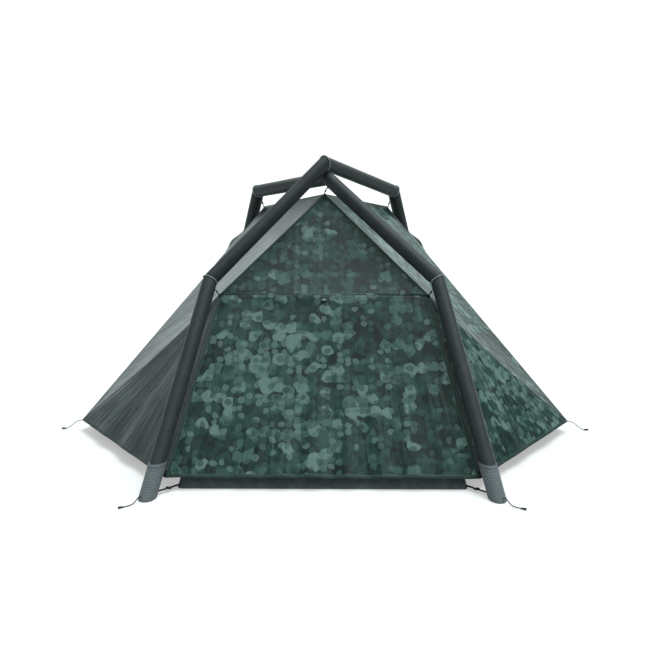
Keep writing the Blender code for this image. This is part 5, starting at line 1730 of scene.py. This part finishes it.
def addBuckle(side, middle, axes, values):
    # a ladder buckle: two rails, and bars that the strap is laced through
    level, away, _ = axes
    wide, long, high = (values[key] for key in ("buckleWidth", "buckleLength", "buckleHeight"))
    railWidth = (wide - values["width"]) / 2 - values["gap"]
    parts = []
    for turn in (-1, 1):
        parts += blockPart((railWidth, long, high * 0.86),
                           middle + turn * (wide - railWidth) / 2 * level, axes, 0.0012)
    barHeight = (high - values["cadThickness"]) / 2 - 0.0006
    for share, turn in ((-0.42, -1), (0.0, 1), (0.42, -1)):
        lift = turn * (values["cadThickness"] / 2 + 0.0004 + barHeight / 2)
        parts += blockPart((wide - 0.001, values["barWidth"], barHeight),
                           middle + share * long * 0.86 * away + lift * up, axes, 0.0008)
    addPiece(f"front{side.title()}StrapBuckle", parts, [blackAcetal], f"{side}_buckle",
             [f"front_{side}_strap_buckle"], 35)


for side in ("left", "right"):
    place = addStrap(f"front{side.title()}FloorStrap", f"front_{side}_floor_strap", side, True,
                     onSide(side, frontFoot), onSide(side, frontElbow), strapValues)
    addStrap(f"rear{side.title()}FloorStrap", f"rear_{side}_floor_strap", side, False,
             onSide(side, rearFoot), onSide(side, rearElbow), strapValues)
    addBuckle(side, *place, strapValues)
print("hangers, straps and buckles made")


# CAD pieces shown as they are, in their real materials

for node, material in (
    ("upper_beam_bladder", airFilm), ("lower_beam_bladder", airFilm), ("crossover_hose", blackAcetal),
    ("valve_body", blackAcetal), ("valve_cap", blackAcetal), ("valve_pin", greyAcetal),
):
    mesh = nodes[node].data
    mesh.materials.clear()
    mesh.materials.append(material)


# Floor, surroundings and light

studioValues = {
    "floorSize": 60.0,
    "floorDrop": 0.0004,
    "floorBase": 0.62,        # what the floor sends back to the tent
    "floorGlow": 0.42,        # keeps the floor white in the picture, and its shadows pale
    "skyLow": 0.14, "skyTop": 0.50, "skyRise": (0.1, 0.8),
    "backdrop": 1.5, "backdropRise": (0.62, 0.93),
    "keyStrength": 2.3, "keyPlace": (1.2, 0.6, 5.0), "keySpread": 40.0,
    "lightColour": "#f3ffff",
}


def addStudio(values):
    half = values["floorSize"] / 2
    mesh = bpy.data.meshes.new("studioFloor")
    mesh.from_pydata([(-half, -half, 0), (half, -half, 0), (half, half, 0), (-half, half, 0)],
                     [], [(0, 1, 2, 3)])
    floor = addObject("studioFloor", mesh)
    floor.location.z = -values["floorDrop"]
    # Matt white floor paint, with a glow that only the camera sees
    material, add = startMaterial("paintedStudioFloor", {
        "Roughness": 0.9, "Specular IOR Level": 0.0, "Emission Color": (1, 1, 1, 1),
        "Base Color": (values["floorBase"],) * 3 + (1,)})
    ray = add("LightPath", output="Is Camera Ray")
    glow = add("Math", (ray, values["floorGlow"]), operation="MULTIPLY")
    shader = material.node_tree.nodes["Principled BSDF"]
    material.node_tree.links.new(glow, shader.inputs["Emission Strength"])
    mesh.materials.append(material)

    # a dim room, brighter overhead, with a lit backdrop straight behind the tent; the camera
    # itself sees plain white
    world = bpy.data.worlds.new("studioWorld")
    world.use_nodes = True
    bpy.context.scene.world = world
    world.node_tree.nodes.clear()
    add = partial(addNode, world.node_tree)
    height = add("SeparateXYZ", (add("TexCoord", output="Generated"),), "Z")
    sky = add("MapRange", (height, *values["skyRise"], values["skyLow"], values["skyTop"]))
    behind = add("MapRange", (height.node.outputs["Y"], *values["backdropRise"], 0.0,
                              values["backdrop"]), interpolation_type="SMOOTHSTEP")
    strength = add("Math", (sky, behind), operation="ADD")
    lit = add("Background", (values["lightColour"], strength))
    seen = add("Background", ((1, 1, 1, 1), 1.0))
    shown = add("MixShader", (add("LightPath", output="Is Camera Ray"), lit, seen))
    add("OutputWorld", (shown,))

    data = bpy.data.lights.new("softKey", "SUN")
    data.energy = values["keyStrength"]
    data.color = hexColour(values["lightColour"])[:3]
    data.angle = math.radians(values["keySpread"])
    key = addObject("softKey", data)
    key.rotation_euler = Vector(values["keyPlace"]).to_track_quat("Z", "Y").to_euler()


addStudio(studioValues)
bpy.context.scene.view_settings.view_transform = "Standard"
print("studio made")
